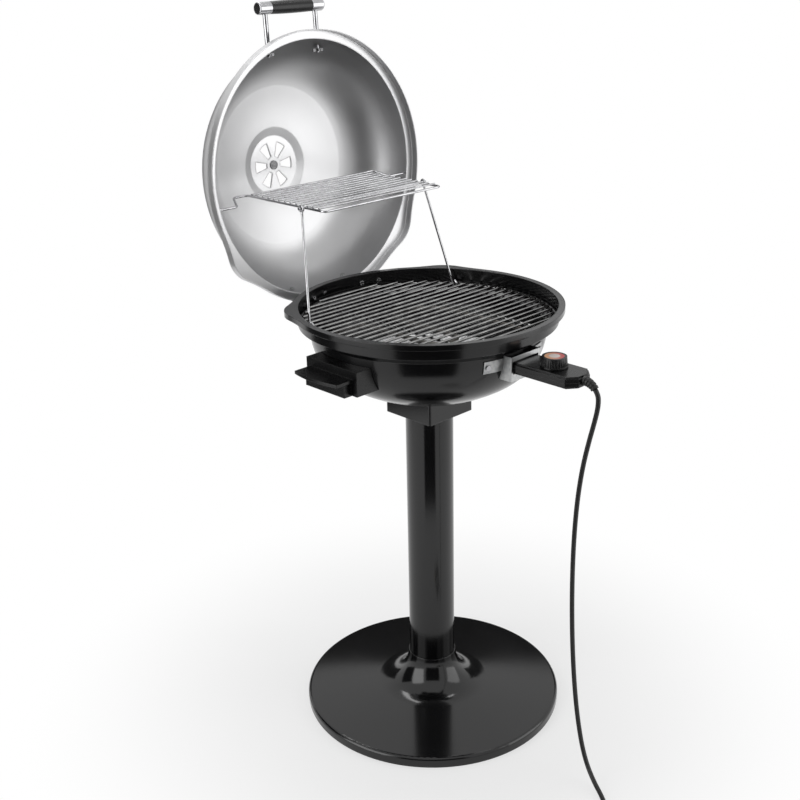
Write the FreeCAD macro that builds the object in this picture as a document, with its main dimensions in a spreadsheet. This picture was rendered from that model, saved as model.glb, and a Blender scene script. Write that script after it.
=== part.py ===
import FreeCAD, Part
import Sketcher
import math
import os

# Floor-standing electric barbecue grill with a hinged lid, in millimetres.
# The origin is the centre of the base's underside, +Z is up, -Y is the thermostat side
# and +Y is the hinge side. The lid rests open, so the document shows it open.

Vector = FreeCAD.Vector
doc = FreeCAD.newDocument("electric_grill")
sheet = doc.addObject("Spreadsheet::Sheet", "sizes")


class Size:
    """A number with the sheet expression that gives it, so sums of sizes stay tied to the sheet."""

    def __init__(self, value, text):
        self.value = float(value)
        self.text = text

    def __add__(self, other):
        other = size_of(other)
        return Size(self.value + other.value, f"({self.text} + {other.text})")

    def __sub__(self, other):
        other = size_of(other)
        return Size(self.value - other.value, f"({self.text} - {other.text})")

    def __mul__(self, other):
        other = size_of(other)
        return Size(self.value * other.value, f"({self.text} * {other.text})")

    def __truediv__(self, other):
        other = size_of(other)
        return Size(self.value / other.value, f"({self.text} / {other.text})")

    def __neg__(self):
        return Size(-self.value, f"(0 - {self.text})")

    def __radd__(self, other):
        return size_of(other) + self

    def __rsub__(self, other):
        return size_of(other) - self

    def __rmul__(self, other):
        return size_of(other) * self


def size_of(number):
    return number if isinstance(number, Size) else Size(number, f"({float(number)!r})")


def root(number):
    return Size(math.sqrt(number.value), f"sqrt({number.text})")


def sine(degrees):
    return Size(math.sin(math.radians(degrees.value)), f"sin({degrees.text})")


def cosine(degrees):
    return Size(math.cos(math.radians(degrees.value)), f"cos({degrees.text})")


class Sizes:
    """The driving dimensions and the sizes that follow from them by a formula: each is a cell of the sheet,
    with its name as the alias."""

    def __init__(self, **cells):
        for row, (name, number) in enumerate(cells.items(), 1):
            sheet.set(f"A{row}", name)
            sheet.set(f"B{row}", str(number))
            sheet.setAlias(f"B{row}", name)
        doc.recompute()
        for name in cells:
            setattr(self, name, Size(sheet.get(name), f"sizes.{name}"))


S = Sizes(
    # Clearances: between fixed pieces, round a turning shaft, and round a loose wire eye. Then how far a cut
    # runs past the face that it opens.
    seat_gap=0.3, shaft_gap=0.05, eye_gap=0.45, cut_past=1,
    # Base: a spun dish over a weight plate, on a thin rubber pad.
    pad_thickness=2, pad_inset=0.8, base_radius=226.5, base_edge_height=10, base_edge_round=6,
    base_slope=4.8, base_sheet=1.6, hub_round=60, weight_thickness=5,
    # Pole and the bolt that runs through it.
    pole_radius=40, pole_wall=1.5, socket_depth=12, web_thickness=4, bolt_radius=5,
    bolt_head_radius=12, bolt_head_height=2.6, bolt_recess=3, nut_width=17, nut_height=8, bolt_past_nut=2,
    nut_pocket_radius=15,
    # Cradle: the square block between the pole and the bowl.
    cradle_side=102, cradle_bottom=550, cradle_corner=4, cradle_bolt_spacing=76, cradle_bolt_radius=2.5,
    cradle_bolt_head_radius=4.5, cradle_bolt_head_height=3, cradle_bolt_recess=12, cradle_nut_height=4,
    cradle_nut_width=8,
    # Bowl: a two-arc oval body, a shoulder, a collar and a rolled lip with two ears.
    bowl_lift=28, bowl_bottom="=cradle_bottom + bowl_lift", bowl_depth=122,
    waist_z="=bowl_bottom + bowl_depth",
    bowl_radius=192, bowl_side_round=95, bowl_sheet=1.6, shoulder_rise=12,
    collar_step=19, collar_radius="=bowl_radius + collar_step",
    collar_height=26, rim_top="=waist_z + shoulder_rise + collar_height",
    lip_width=9, lip_radius="=collar_radius + lip_width", lip_drop=9,
    ear_angle=36.5, ear_rise=12, ear_round=55, ear_blend=300,
    # Lid: a skirt with the same ears, a band, a two-arc dome and a flat vent boss.
    hinge_back=5, hinge_y="=collar_radius + hinge_back", hinge_drop=4,
    hinge_z="=waist_z + shoulder_rise - hinge_drop", open_angle=93,
    lid_room=8, lid_radius="=lip_radius + lid_room", lid_overlap=12, lid_lip_z="=rim_top - lid_overlap",
    skirt_height=14, dome_step=14, dome_radius="=lid_radius - dome_step", dome_height=120, dome_side_round=105,
    lid_sheet=1.2, boss_radius=51, boss_rim=66,
    vent_outer=40, vent_inner=15, vent_angle=28, vent_count=6, damper_radius=45, damper_sheet=1.2, damper_tab=12,
    damper_tab_width=14, vent_rivet_radius=4, vent_rivet_head_radius=8, vent_rivet_head_height=1.5,
    # Lid handle.
    handle_stand=37, handle_reach="=lid_radius + handle_stand", handle_rise=52, handle_length=137,
    handle_radius=10, handle_cap_length=25, grip_swell=0.8, post_spacing=106.8, post_radius=4, post_depth=8,
    post_lift=2, cap_round=2, stud_radius=2.5, stud_length=12,
    wing_nut_start=5.6, wing_nut_height=5, wing_nut_radius=5, wing_span=22, wing_sheet=2,
    # Hinges: a riveted bracket on the collar and a strap on the lid.
    hinge_x=64, knuckle_radius=5.5, knuckle_length=14, hinge_pin_radius=2.5, hinge_sheet=2.2,
    bracket_angle=12, bracket_under=3, bracket_height="=collar_height - lip_drop - bracket_under",
    bracket_ear_radius=7, bracket_ear_depth=26, strap_angle=6, strap_neck=10, strap_rise=34,
    strap_screw_rise=25, flange_reach=6.5, stop_length=11, stop_height=4.6, stop_thickness=3.2, stop_width=11,
    rivet_radius=2, rivet_head_radius=4.5, rivet_head_height=1.8, rivet_tail_radius=3, rivet_angle=4.6,
    rivet_rise=9, strap_screw_radius=2, strap_screw_head_radius=4, strap_screw_head_height=2,
    strap_screw_past=1, strap_nut_height=3,
    # Cooking grate and warming rack.
    grate_room=7.5, grate_radius="=collar_radius - grate_room", grate_ring_wire=2.5, grate_wire=2,
    grate_pitch=16, weld_sink=0.5, grate_stay_x=75, foot_wire=6, crank_y=46, crank_z=177,
    rack_inset=73.5, rack_half_width="=grate_radius - rack_inset", rack_front=48, rack_tail=28, rack_wire=2,
    rack_pitch=14, rack_bar=1.5, rack_bend=8, arm_out=42, arm_jog=28,
    arm_past=2, arm_end="=dome_radius + arm_past", pivot_past=13, pivot_end="=rack_half_width + pivot_past",
    leg_past=7, leg_top_x="=rack_half_width + leg_past", leg_inset=37.5, leg_foot_x="=grate_radius - leg_inset",
    leg_wire=2, hook_opening=110,
    # Drip pan, heating element and its terminal plate. The thermostat's box starts just outside the bowl.
    pan_inset=32, pan_rim_radius="=bowl_radius - pan_inset", pan_flare=44,
    pan_floor_radius="=pan_rim_radius - pan_flare", pan_lift=30, pan_floor_z="=bowl_bottom + pan_lift",
    pan_sheet=0.8, element_drop=19, element_z="=waist_z - element_drop", element_wire=4,
    element_inset=64, element_half_width="=bowl_radius - element_inset", element_front_inset=54,
    element_front="=bowl_radius - element_front_inset", finger_x=30, finger_front=50,
    element_corner=60, finger_bend=27, terminal_bend=16, terminal_x=11,
    box_stand=4, box_inner="=bowl_radius + box_stand",
    terminal_grip=10, terminal_end="=box_inner + terminal_grip", bracket_width=12, bracket_sheet=1.5,
    bracket_catch=8, bracket_inner="=element_half_width - bracket_catch",
    bracket_drop=12, terminal_plate_width=44, terminal_plate_height=20, terminal_plate_sheet=2,
    window_width=34, window_height=14, probe_radius=3.2, probe_inset=72,
    probe_inner="=bowl_radius - probe_inset", probe_seat=8,
    # Side handles.
    side_width=114, side_fall=52, side_bottom="=waist_z - side_fall", side_under=13,
    side_top="=waist_z - side_under", side_stand=20, side_reach="=bowl_radius + side_stand",
    paddle_width=96, paddle_reach=38, paddle_crown=6, paddle_under=26, paddle_top="=waist_z - paddle_under",
    paddle_thickness=5, box_width=88, box_reach=14, box_drop=22,
    side_screw_spacing=60, side_screw_under=32, side_screw_z="=waist_z - side_screw_under",
    side_screw_radius=2.5, side_screw_length=22, side_screw_stand=2.2, side_screw_room=1,
    side_screw_head_radius=5, side_screw_head_height=2.5,
    # Probe guard.
    guard_width=66, guard_stand=13.5, guard_front="=bowl_radius + guard_stand", guard_fall=40,
    guard_bottom="=waist_z - guard_fall", guard_under=1, guard_top="=waist_z - guard_under", guard_sheet=1.5,
    guard_window_width=59, guard_window_drop=9.5, guard_window_bottom="=element_z - guard_window_drop",
    guard_window_rise=11, guard_window_top="=element_z + guard_window_rise",
    guard_tab_angle=10.5, guard_tab_fall=25, guard_tab_bottom="=waist_z - guard_tab_fall",
    guard_tab_under=5, guard_tab_top="=waist_z - guard_tab_under", guard_screw_x=60, guard_screw_under=15,
    guard_screw_z="=waist_z - guard_screw_under", guard_screw_radius=2,
    guard_screw_head_radius=4.5, guard_screw_head_height=2.2, guard_screw_length=7,
    # Thermostat and dial.
    box_half_width=28, box_length=120, box_outer="=box_inner + box_length", box_nose=14, box_nose_width=26,
    box_half_height=9, box_step=2.5, box_step_height=3,
    dial_inset=64, dial_y="=box_inner + dial_inset", dial_gap=0.4, dial_flange_radius=21,
    dial_flange=3, dial_radius=20, dial_top_radius=18.8, dial_height=13.6, insert_radius=15, insert_depth=1.5,
    shaft_radius=3, shaft_length=6, dial_ribs=30, rib_groove=1.3,
    # Strain relief, cord, coil, tie and plug. The cord's route is drawn for one fall, and follows the real one.
    relief_radius=7.5, relief_tip=6, relief_over=1, relief_z="=element_z + relief_over", relief_drop=9,
    relief_reach=19.5, relief_groove=0.9, relief_rings=4,
    cord_radius=4, cord_lead=8, cord_fall=673, floor_gap=0.2, coil_radius=44, coil_gap=0.7, coil_x=-128,
    coil_out=116, coil_y="=0 - box_outer - coil_out", coil_lift=2.3, coil_lead=22,
    coil_turns=3.25, coil_start_angle=-45, tail_length=42, tie_place=0.125, tie_gap=0.75, tie_sheet=1.2,
    tie_width=10, plug_length=34, plug_width=27, plug_height=22, plug_back_width=16, plug_back_height=14,
    plug_corner=4, blade_length=16, blade_width=6.4, blade_sheet=1.6, blade_spacing=12.7, ground_radius=2.4,
    ground_drop=7,
)


# Binding and placing

def bind(thing, name, amount):
    """Set one property and tie it to the sheet."""
    amount = size_of(amount)
    setattr(thing, name, amount.value)
    thing.setExpression(name, amount.text)


def locate(thing, x=0, y=0, z=0, rotation=FreeCAD.Rotation()):
    """Put an object at a place whose coordinates stay tied to the sheet."""
    places = [size_of(amount) for amount in (x, y, z)]
    thing.Placement = FreeCAD.Placement(Vector(*[place.value for place in places]), rotation)
    for letter, place in zip("xyz", places):
        thing.setExpression(f"Placement.Base.{letter}", place.text)
    return thing


def swing(thing):
    """Hang a piece, modelled with the hinge axis as its X axis and the lid closed, on the open lid."""
    locate(thing, 0, S.hinge_y, S.hinge_z, FreeCAD.Rotation(Vector(-1, 0, 0), S.open_angle.value))
    thing.setExpression("Placement.Rotation.Angle", S.open_angle.text)
    return thing


nodes = []


def node(name, thing):
    """Give a finished sub-part its name."""
    thing.Label = name
    nodes.append(thing)
    return thing


def new(kind, name):
    return doc.addObject(kind, name)


# Sketches and the features made from them

def plane(body, role):
    return next(part for part in body.Origin.OriginFeatures if part.Role == role)


def sketch_on(body, role, lift=0, up=0, turn=0):
    """An empty sketch on one of the body's own planes, moved along its normal and up, and turned."""
    sketch = body.newObject("Sketcher::SketchObject", body.Name + "_sketch")
    sketch.AttachmentSupport = (plane(body, role), [""])
    sketch.MapMode = "FlatFace"
    lift, up, turn = size_of(lift), size_of(up), size_of(turn)
    turned = FreeCAD.Rotation(Vector(0, 1, 0), turn.value)
    sketch.AttachmentOffset = FreeCAD.Placement(Vector(0, up.value, lift.value), turned)
    sketch.setExpression("AttachmentOffset.Base.y", up.text)
    sketch.setExpression("AttachmentOffset.Base.z", lift.text)
    if turn.value:
        sketch.setExpression("AttachmentOffset.Rotation.Angle", turn.text)
    return sketch


def hold(sketch, geometry, end, across, amount):
    """Tie one coordinate of a point to the sheet."""
    if abs(amount.value) < 1e-9:
        sketch.addConstraint(Sketcher.Constraint("PointOnObject", geometry, end, -2 if across else -1))
        return
    kind = "DistanceX" if across else "DistanceY"
    ends = (-1, 1, geometry, end) if amount.value > 0 else (geometry, end, -1, 1)
    text = amount.text if amount.value > 0 else f"0 - {amount.text}"
    index = sketch.addConstraint(Sketcher.Constraint(kind, *ends, abs(amount.value)))
    sketch.setExpression(f"Constraints[{index}]", text)


def arc_between(start, end, radius, turn):
    """The shorter arc from start to end: turn is 1 for anticlockwise, -1 for clockwise."""
    chord = end - start
    rise = math.sqrt(max(radius ** 2 - chord.Length ** 2 / 4, 0))
    left = Vector(-chord.y, chord.x, 0) / chord.Length
    centre = (start + end) / 2 + left * rise * turn
    first, last = (start, end) if turn > 0 else (end, start)
    angles = [math.atan2(point.y - centre.y, point.x - centre.x) for point in (first, last)]
    return Part.ArcOfCircle(Part.Circle(centre, Vector(0, 0, 1), radius), *angles)


def trace(sketch, path):
    """Draw a closed outline. Each step is the corner that a segment runs to: (across, up) ends a line,
    and (across, up, radius, turn) ends an arc. The first step ends the segment that closes the outline."""
    path = [(size_of(step[0]), size_of(step[1])) + tuple(step[2:]) for step in path]
    corners = [Vector(step[0].value, step[1].value, 0) for step in path]
    first = sketch.GeometryCount
    ends = []
    for index, corner in enumerate(corners):
        step = path[(index + 1) % len(path)]
        goal = corners[(index + 1) % len(path)]
        if len(step) == 2:
            sketch.addGeometry(Part.LineSegment(corner, goal))
            ends.append((1, 2))
        else:
            sketch.addGeometry(arc_between(corner, goal, size_of(step[2]).value, step[3]))
            ends.append((1, 2) if step[3] > 0 else (2, 1))
    for index in range(len(path)):
        after = (index + 1) % len(path)
        sketch.addConstraint(Sketcher.Constraint("Coincident", first + index, ends[index][1],
                                                 first + after, ends[after][0]))
    for index, step in enumerate(path):
        hold(sketch, first + index, ends[index][0], True, step[0])
        hold(sketch, first + index, ends[index][0], False, step[1])
        if len(step) == 4:
            arc = first + (index - 1) % len(path)
            radius = size_of(step[2])
            tie = sketch.addConstraint(Sketcher.Constraint("Radius", arc, radius.value))
            sketch.setExpression(f"Constraints[{tie}]", radius.text)
    return sketch


def ring(sketch, across, up, radius):
    """Draw a circle."""
    across, up, radius = size_of(across), size_of(up), size_of(radius)
    centre = Vector(across.value, up.value, 0)
    circle = sketch.addGeometry(Part.Circle(centre, Vector(0, 0, 1), radius.value))
    tie = sketch.addConstraint(Sketcher.Constraint("Radius", circle, radius.value))
    sketch.setExpression(f"Constraints[{tie}]", radius.text)
    hold(sketch, circle, 3, True, across)
    hold(sketch, circle, 3, False, up)
    return sketch


def feature(body, kind, sketch):
    made = body.newObject("PartDesign::" + kind, f"{body.Name}_{kind.lower()}")
    made.Profile = sketch
    sketch.Visibility = False
    return made


def pad(body, sketch, length, backwards=False, both=False):
    made = feature(body, "Pad", sketch)
    bind(made, "Length", length)
    made.Reversed = backwards
    made.SideType = "Symmetric" if both else "One side"
    return made


def lessened(body, made):
    """Stop if a cut took nothing away."""
    before = made.BaseFeature.Shape.Volume if made.BaseFeature else body.Shape.Volume
    doc.recompute()
    if not made.Shape.Volume < before - 1e-3:
        raise RuntimeError(f"{made.Name} cuts nothing")
    return made


def pocket(body, sketch, length, backwards=False, both=False):
    doc.recompute()
    made = feature(body, "Pocket", sketch)
    bind(made, "Length", length)
    made.Reversed = backwards
    made.SideType = "Symmetric" if both else "One side"
    return lessened(body, made)


def revolution(body, sketch, angle=360, axis="V_Axis", both=False):
    made = feature(body, "Revolution", sketch)
    made.ReferenceAxis = (sketch, [axis])
    bind(made, "Angle", angle)
    made.Midplane = both
    return made


def groove(body, sketch):
    doc.recompute()
    made = feature(body, "Groove", sketch)
    made.ReferenceAxis = (sketch, ["V_Axis"])
    made.Angle = 360
    return lessened(body, made)


def spun(name, path):
    """A body turned about the Z axis from one profile of (radius, height) steps."""
    body = new("PartDesign::Body", name)
    revolution(body, trace(sketch_on(body, "XZ_Plane"), path))
    return body


def rectangle(half_width, low, high):
    return [(-half_width, low), (half_width, low), (half_width, high), (-half_width, high)]


# Round bars, fasteners and the holes they go through

class Spot:
    """A point and a direction: where a fastener or a hole goes, and which way it runs."""

    def __init__(self, x, y, z, direction):
        self.point = (x, y, z)
        self.direction = direction

    def ahead(self, distance):
        return [start + step * distance for start, step in zip(self.point, self.direction)]

    def rotation(self):
        return FreeCAD.Rotation(Vector(0, 0, 1), Vector(*[size_of(step).value for step in self.direction]))


def radial(radius, angle, z):
    """A spot on a circle about the Z axis, pointing outwards."""
    across, along = cosine(size_of(angle)), sine(size_of(angle))
    return Spot(radius * across, radius * along, z, (across, along, 0))


def rod(name, spot, radius, start, end):
    """A round bar along a spot's direction, between two distances from it."""
    bar = new("Part::Cylinder", name)
    bind(bar, "Radius", radius)
    bind(bar, "Height", size_of(end) - start)
    return locate(bar, *spot.ahead(size_of(start)), spot.rotation())


def fuse(name, pieces):
    joined = new("Part::MultiFuse", name)
    joined.Shapes = pieces
    return joined


def group(name, pieces):
    """Separate identical pieces in one sub-part."""
    gathered = new("Part::Compound", name)
    gathered.Links = pieces
    return gathered


def cut(name, base, tools):
    taken = new("Part::Cut", name)
    taken.Base = base
    taken.Tool = tools[0] if len(tools) == 1 else group(name + "_tools", tools)
    return taken


def headed(name, spot, radius, end, head_radius, head_height):
    """A screw, bolt or rivet whose head stands behind the spot."""
    shank = rod(name + "_shank", spot, radius, 0, end)
    head = rod(name + "_head", spot, head_radius, -head_height, 0)
    return fuse(name, [shank, head])


def drilled(name, base, spots, radius, start, end):
    """A piece with one hole at each spot."""
    holes = [rod(f"{name}_hole", spot, radius, start, end) for spot in spots]
    return cut(name, base, holes)


# Bent wires

def centre_line(points, radii):
    """Straight runs joined by tangent arcs, as a wire."""
    edges = []
    here = points[0]
    for before, corner, after, radius in zip(points, points[1:], points[2:], radii):
        inward = (before - corner).normalize()
        outward = (after - corner).normalize()
        half_turn = (math.pi - inward.getAngle(outward)) / 2
        reach = radius * math.tan(half_turn)
        start, end = corner + inward * reach, corner + outward * reach
        toward = (inward + outward).normalize()
        middle = corner + toward * (radius / math.cos(half_turn) - radius)
        if (start - here).Length > 1e-6:
            edges.append(Part.LineSegment(here, start).toShape())
        edges.append(Part.Arc(start, middle, end).toShape())
        here = end
    edges.append(Part.LineSegment(here, points[-1]).toShape())
    return Part.Wire(edges)


def swept(line, radius):
    """A round section carried along a wire."""
    first = line.OrderedEdges[0]
    start = first.valueAt(first.FirstParameter)
    away = first.tangentAt(first.FirstParameter)
    if (start - line.OrderedVertexes[0].Point).Length > 1e-6:
        start, away = first.valueAt(first.LastParameter), -first.tangentAt(first.LastParameter)
    section = Part.Wire([Part.Circle(start, away, radius).toShape()])
    solid = line.makePipeShell([section], True, False)
    due = math.pi * radius ** 2 * line.Length
    if abs(solid.Volume / due - 1) > 0.01:
        raise RuntimeError(f"swept volume {solid.Volume:.0f} is not {due:.0f}")
    return solid


def formed(name, shape):
    """A sub-part whose shape is worked out from the sizes directly."""
    piece = new("Part::Feature", name)
    piece.Shape = shape
    return piece


def at(*amounts):
    return Vector(*[size_of(amount).value for amount in amounts])


# The bowl's and the lid's shared outlines

def oval_crown(radius, depth, side_round):
    """The top radius of a two-arc oval."""
    flat = radius - side_round
    return (flat * flat + depth * depth - side_round * side_round) / (2 * (depth - side_round))


def oval_join(radius, depth, side_round, offset):
    """Where an oval's two arcs meet, offset outwards: the radius, and the distance from the widest place."""
    flat = radius - side_round
    crown = oval_crown(radius, depth, side_round)
    share = (side_round + offset) / (crown - side_round)
    return flat + flat * share, (crown - depth) * share


def eared(radius, ear_reach, ear_round, ear_blend):
    """A round outline about the origin with two ears, from tangent arcs."""
    away = ear_reach - ear_round
    lean = (away * away + (radius + ear_blend) * (radius + ear_blend)
            - (ear_round + ear_blend) * (ear_round + ear_blend)) / (2 * away * (radius + ear_blend))
    swerve = root(1 - lean * lean)
    share = ear_round / (ear_round + ear_blend)
    along, across = cosine(S.ear_angle), sine(S.ear_angle)

    def place(forward, sideways, side):
        return side * (along * forward - across * sideways), across * forward + along * sideways

    def on_rim(way):
        return radius * lean, radius * swerve * way

    def on_ear(way):
        blend = (radius + ear_blend) * lean, (radius + ear_blend) * swerve * way
        return away + share * (blend[0] - away), share * blend[1]

    return [
        (0, -radius, radius, 1),
        (*place(*on_rim(-1), 1), radius, 1),
        (*place(*on_ear(-1), 1), ear_blend, -1),
        (*place(*on_ear(1), 1), ear_round, 1),
        (*place(*on_rim(1), 1), ear_blend, -1),
        (*place(*on_rim(1), -1), radius, 1),
        (*place(*on_ear(1), -1), ear_blend, -1),
        (*place(*on_ear(-1), -1), ear_round, 1),
        (*place(*on_rim(-1), -1), ear_blend, -1),
    ]


# Base pad, weight plate and spun dish
pad_top = S.pad_thickness
dish_inner = S.base_radius - S.base_sheet
weight_radius = dish_inner - S.seat_gap
weight_top = pad_top + S.weight_thickness
edge_z = pad_top + S.base_edge_height
edge_centre = S.base_radius - S.base_edge_round
hub_radius = S.pole_radius + S.seat_gap + S.base_sheet
hub_centre = hub_radius + S.hub_round
slope_across, slope_up = sine(S.base_slope), cosine(S.base_slope)
hub_top = edge_z + (S.hub_round + S.base_edge_round + (edge_centre - hub_centre) * slope_across) / slope_up


def dish_line(inset):
    """The dish's outer surface, or the inner one a sheet below it, from the rim up to the hub."""
    edge = S.base_edge_round - inset
    hub = S.hub_round + inset
    return [
        (S.base_radius - inset, pad_top),
        (S.base_radius - inset, edge_z),
        (edge_centre + edge * slope_across, edge_z + edge * slope_up, edge, 1),
        (hub_centre - hub * slope_across, hub_top - hub * slope_up),
        (hub_centre - hub, hub_top, hub, -1),
    ]


def reversed_line(steps):
    """The same line walked the other way, with each arc turning the other way."""
    walked = []
    for index in range(len(steps) - 1, -1, -1):
        later = steps[index + 1] if index + 1 < len(steps) else steps[index][:2]
        bend = (later[2], -later[3]) if len(later) == 4 else ()
        walked.append(tuple(steps[index][:2]) + bend)
    return walked


node("floor_pad", spun("floor_pad", [
    (0, 0),
    (S.base_radius - S.pad_inset, 0),
    (S.base_radius - S.pad_inset, pad_top),
    (0, pad_top),
]))
node("base_weight", spun("base_weight", [
    (S.bolt_radius + S.seat_gap, weight_top),
    (S.bolt_radius + S.seat_gap, pad_top + S.bolt_recess),
    (S.bolt_head_radius + 2 * S.seat_gap, pad_top + S.bolt_recess),
    (S.bolt_head_radius + 2 * S.seat_gap, pad_top),
    (weight_radius, pad_top),
    (weight_radius, weight_top),
]))
node("base_dish", spun("base_dish", dish_line(size_of(0)) + reversed_line(dish_line(S.base_sheet))))

# Pole, through bolt and nut
pole_top = S.cradle_bottom + S.socket_depth
web_top = pole_top + S.web_thickness
head_top = pad_top + S.bolt_recess
nut_top = web_top + S.nut_height
node("pole", spun("pole", [
    (S.pole_radius - S.pole_wall, weight_top),
    (S.pole_radius, weight_top),
    (S.pole_radius, pole_top),
    (S.pole_radius - S.pole_wall, pole_top),
]))
node("through_bolt", spun("through_bolt", [
    (0, head_top - S.bolt_head_height),
    (S.bolt_head_radius, head_top - S.bolt_head_height),
    (S.bolt_head_radius, head_top),
    (S.bolt_radius, head_top),
    (S.bolt_radius, nut_top + S.bolt_past_nut),
    (0, nut_top + S.bolt_past_nut),
]))


def hex_nut(name, x, y, z, width, height, bore):
    """A hexagonal nut standing on z."""
    blank = new("Part::Prism", name + "_blank")
    blank.Polygon = 6
    bind(blank, "Circumradius", width / math.sqrt(3))
    bind(blank, "Height", height)
    locate(blank, x, y, z)
    return drilled(name, blank, [Spot(x, y, z, (0, 0, 1))], bore, -S.cut_past, height + S.cut_past)


node("bolt_nut", hex_nut("bolt_nut", 0, 0, web_top, S.nut_width, S.nut_height, S.bolt_radius + S.shaft_gap))

# Bowl outline: where its two arcs meet, and its heights
bowl_crown = oval_crown(S.bowl_radius, S.bowl_depth, S.bowl_side_round)
crown_z = S.bowl_bottom + bowl_crown
side_centre = S.bowl_radius - S.bowl_side_round
collar_z = S.waist_z + S.shoulder_rise
shoulder_run = S.collar_radius - S.bowl_radius
shoulder_slant = root(shoulder_run * shoulder_run + S.shoulder_rise * S.shoulder_rise)
corner_rise = S.bowl_sheet * (shoulder_slant - S.shoulder_rise) / shoulder_run
lip_bottom = S.rim_top - S.lip_drop
lip_ear = S.lip_radius + S.ear_rise


def bowl_side(offset, z):
    """The radius of the bowl's side at a height, with an offset outwards."""
    reach = S.bowl_side_round + offset
    drop = S.waist_z - z
    return side_centre + root(reach * reach - drop * drop)


def bowl_join(offset):
    """Where the bowl's bottom arc meets its side arc, with an offset outwards."""
    radius, drop = oval_join(S.bowl_radius, S.bowl_depth, S.bowl_side_round, offset)
    return radius, S.waist_z - drop


def bowl_floor(offset, radius):
    """The height of the bowl's bottom arc at a radius, with an offset outwards."""
    reach = bowl_crown + offset
    return crown_z - root(reach * reach - radius * radius)


def bowl_wall():
    """The bowl's sheet from its bottom to the rim, outer side first."""
    inner = -S.bowl_sheet
    inside = S.bowl_side_round - S.bowl_sheet
    return [
        (0, S.bowl_bottom),
        (*bowl_join(0), bowl_crown, 1),
        (S.bowl_radius, S.waist_z, S.bowl_side_round, 1),
        (S.collar_radius, collar_z),
        (S.collar_radius, S.rim_top),
        (S.collar_radius - S.bowl_sheet, S.rim_top),
        (S.collar_radius - S.bowl_sheet, collar_z + corner_rise),
        (S.bowl_radius - S.bowl_sheet, S.waist_z + corner_rise),
        (S.bowl_radius - S.bowl_sheet, S.waist_z),
        (*bowl_join(inner), inside, -1),
        (0, S.bowl_bottom + S.bowl_sheet, bowl_crown - S.bowl_sheet, -1),
    ]


# Fastener places, each used by every piece that the fastener goes through
cradle_spots = [
    Spot(S.cradle_bolt_spacing / 2 * side, S.cradle_bolt_spacing / 2 * end,
         S.cradle_bottom + S.cradle_bolt_recess, (0, 0, 1))
    for side in (-1, 1) for end in (-1, 1)
]
side_wall = bowl_side(-S.bowl_sheet, S.side_screw_z)
side_screw_x = root(side_wall * side_wall - S.side_screw_spacing * S.side_screw_spacing / 4) - S.side_screw_stand
side_screw_spots = {
    side: [Spot(side_screw_x * side, S.side_screw_spacing / 2 * end, S.side_screw_z, (side, 0, 0))
           for end in (-1, 1)]
    for side in (-1, 1)
}
guard_screw_r = bowl_side(S.seat_gap + S.guard_sheet, S.guard_screw_z)
guard_screw_y = root(guard_screw_r * guard_screw_r - S.guard_screw_x * S.guard_screw_x)
guard_lean = (S.waist_z - S.guard_screw_z) / (S.bowl_side_round + S.seat_gap + S.guard_sheet)
guard_level = root(1 - guard_lean * guard_lean) / guard_screw_r
guard_spots = [
    Spot(S.guard_screw_x * side, -guard_screw_y, S.guard_screw_z,
         (-side * S.guard_screw_x * guard_level, guard_screw_y * guard_level, guard_lean))
    for side in (-1, 1)
]
hinge_angle = math.degrees(math.atan2(S.hinge_y.value, S.hinge_x.value))
bracket_bottom = collar_z + S.bowl_sheet
rivet_z = bracket_bottom + S.rivet_rise
rivet_spots = {
    side: [radial(S.collar_radius - S.bowl_sheet, 90 + side * (hinge_angle - 90) + way * S.rivet_angle, rivet_z)
           for way in (-1, 1)]
    for side in (-1, 1)
}
terminal_spots = [Spot(S.terminal_x * side, 0, S.element_z, (0, -1, 0)) for side in (-1, 1)]
probe_spot = Spot(0, 0, S.element_z, (0, -1, 0))

# Cradle: a square block, hollowed for the pole below and shaped to the bowl above
cradle = new("PartDesign::Body", "cradle_block")
half_side = S.cradle_side / 2
inner_side = half_side - S.cradle_corner
pad(cradle, trace(sketch_on(cradle, "XY_Plane", S.cradle_bottom), [
    (-inner_side, -half_side, S.cradle_corner, 1),
    (inner_side, -half_side),
    (half_side, -inner_side, S.cradle_corner, 1),
    (half_side, inner_side),
    (inner_side, half_side, S.cradle_corner, 1),
    (-inner_side, half_side),
    (-half_side, inner_side, S.cradle_corner, 1),
    (-half_side, -inner_side),
]), S.bowl_bottom - S.cradle_bottom + half_side)
bowl_rest = bowl_crown + S.seat_gap
scoop_top = S.bowl_bottom + S.cradle_side
groove(cradle, trace(sketch_on(cradle, "XZ_Plane"), [
    (0, S.bowl_bottom - S.seat_gap),
    (S.cradle_side, bowl_floor(S.seat_gap, S.cradle_side), bowl_rest, 1),
    (S.cradle_side, scoop_top),
    (0, scoop_top),
]))
pocket(cradle, ring(sketch_on(cradle, "XY_Plane", S.cradle_bottom), 0, 0, S.pole_radius + S.seat_gap),
       S.socket_depth, backwards=True)
pocket(cradle, ring(sketch_on(cradle, "XY_Plane", pole_top), 0, 0, S.bolt_radius + S.seat_gap),
       S.web_thickness, backwards=True)
pocket(cradle, ring(sketch_on(cradle, "XY_Plane", web_top), 0, 0, S.nut_pocket_radius),
       half_side, backwards=True)
cradle = drilled("cradle_drilled", cradle, cradle_spots, S.cradle_bolt_radius + S.seat_gap, 0, half_side)
node("pole_cradle", drilled("pole_cradle", cradle, cradle_spots, S.cradle_bolt_head_radius + S.seat_gap,
                            -S.cradle_bolt_recess, 0))
bolt_corner = S.cradle_bolt_spacing / 2 * math.sqrt(2)
cradle_nut_z = bowl_floor(-S.bowl_sheet, bolt_corner + S.cradle_bolt_head_radius) + S.seat_gap
cradle_bolt_end = cradle_nut_z + S.cradle_nut_height + S.bowl_sheet - S.cradle_bottom - S.cradle_bolt_recess
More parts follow.
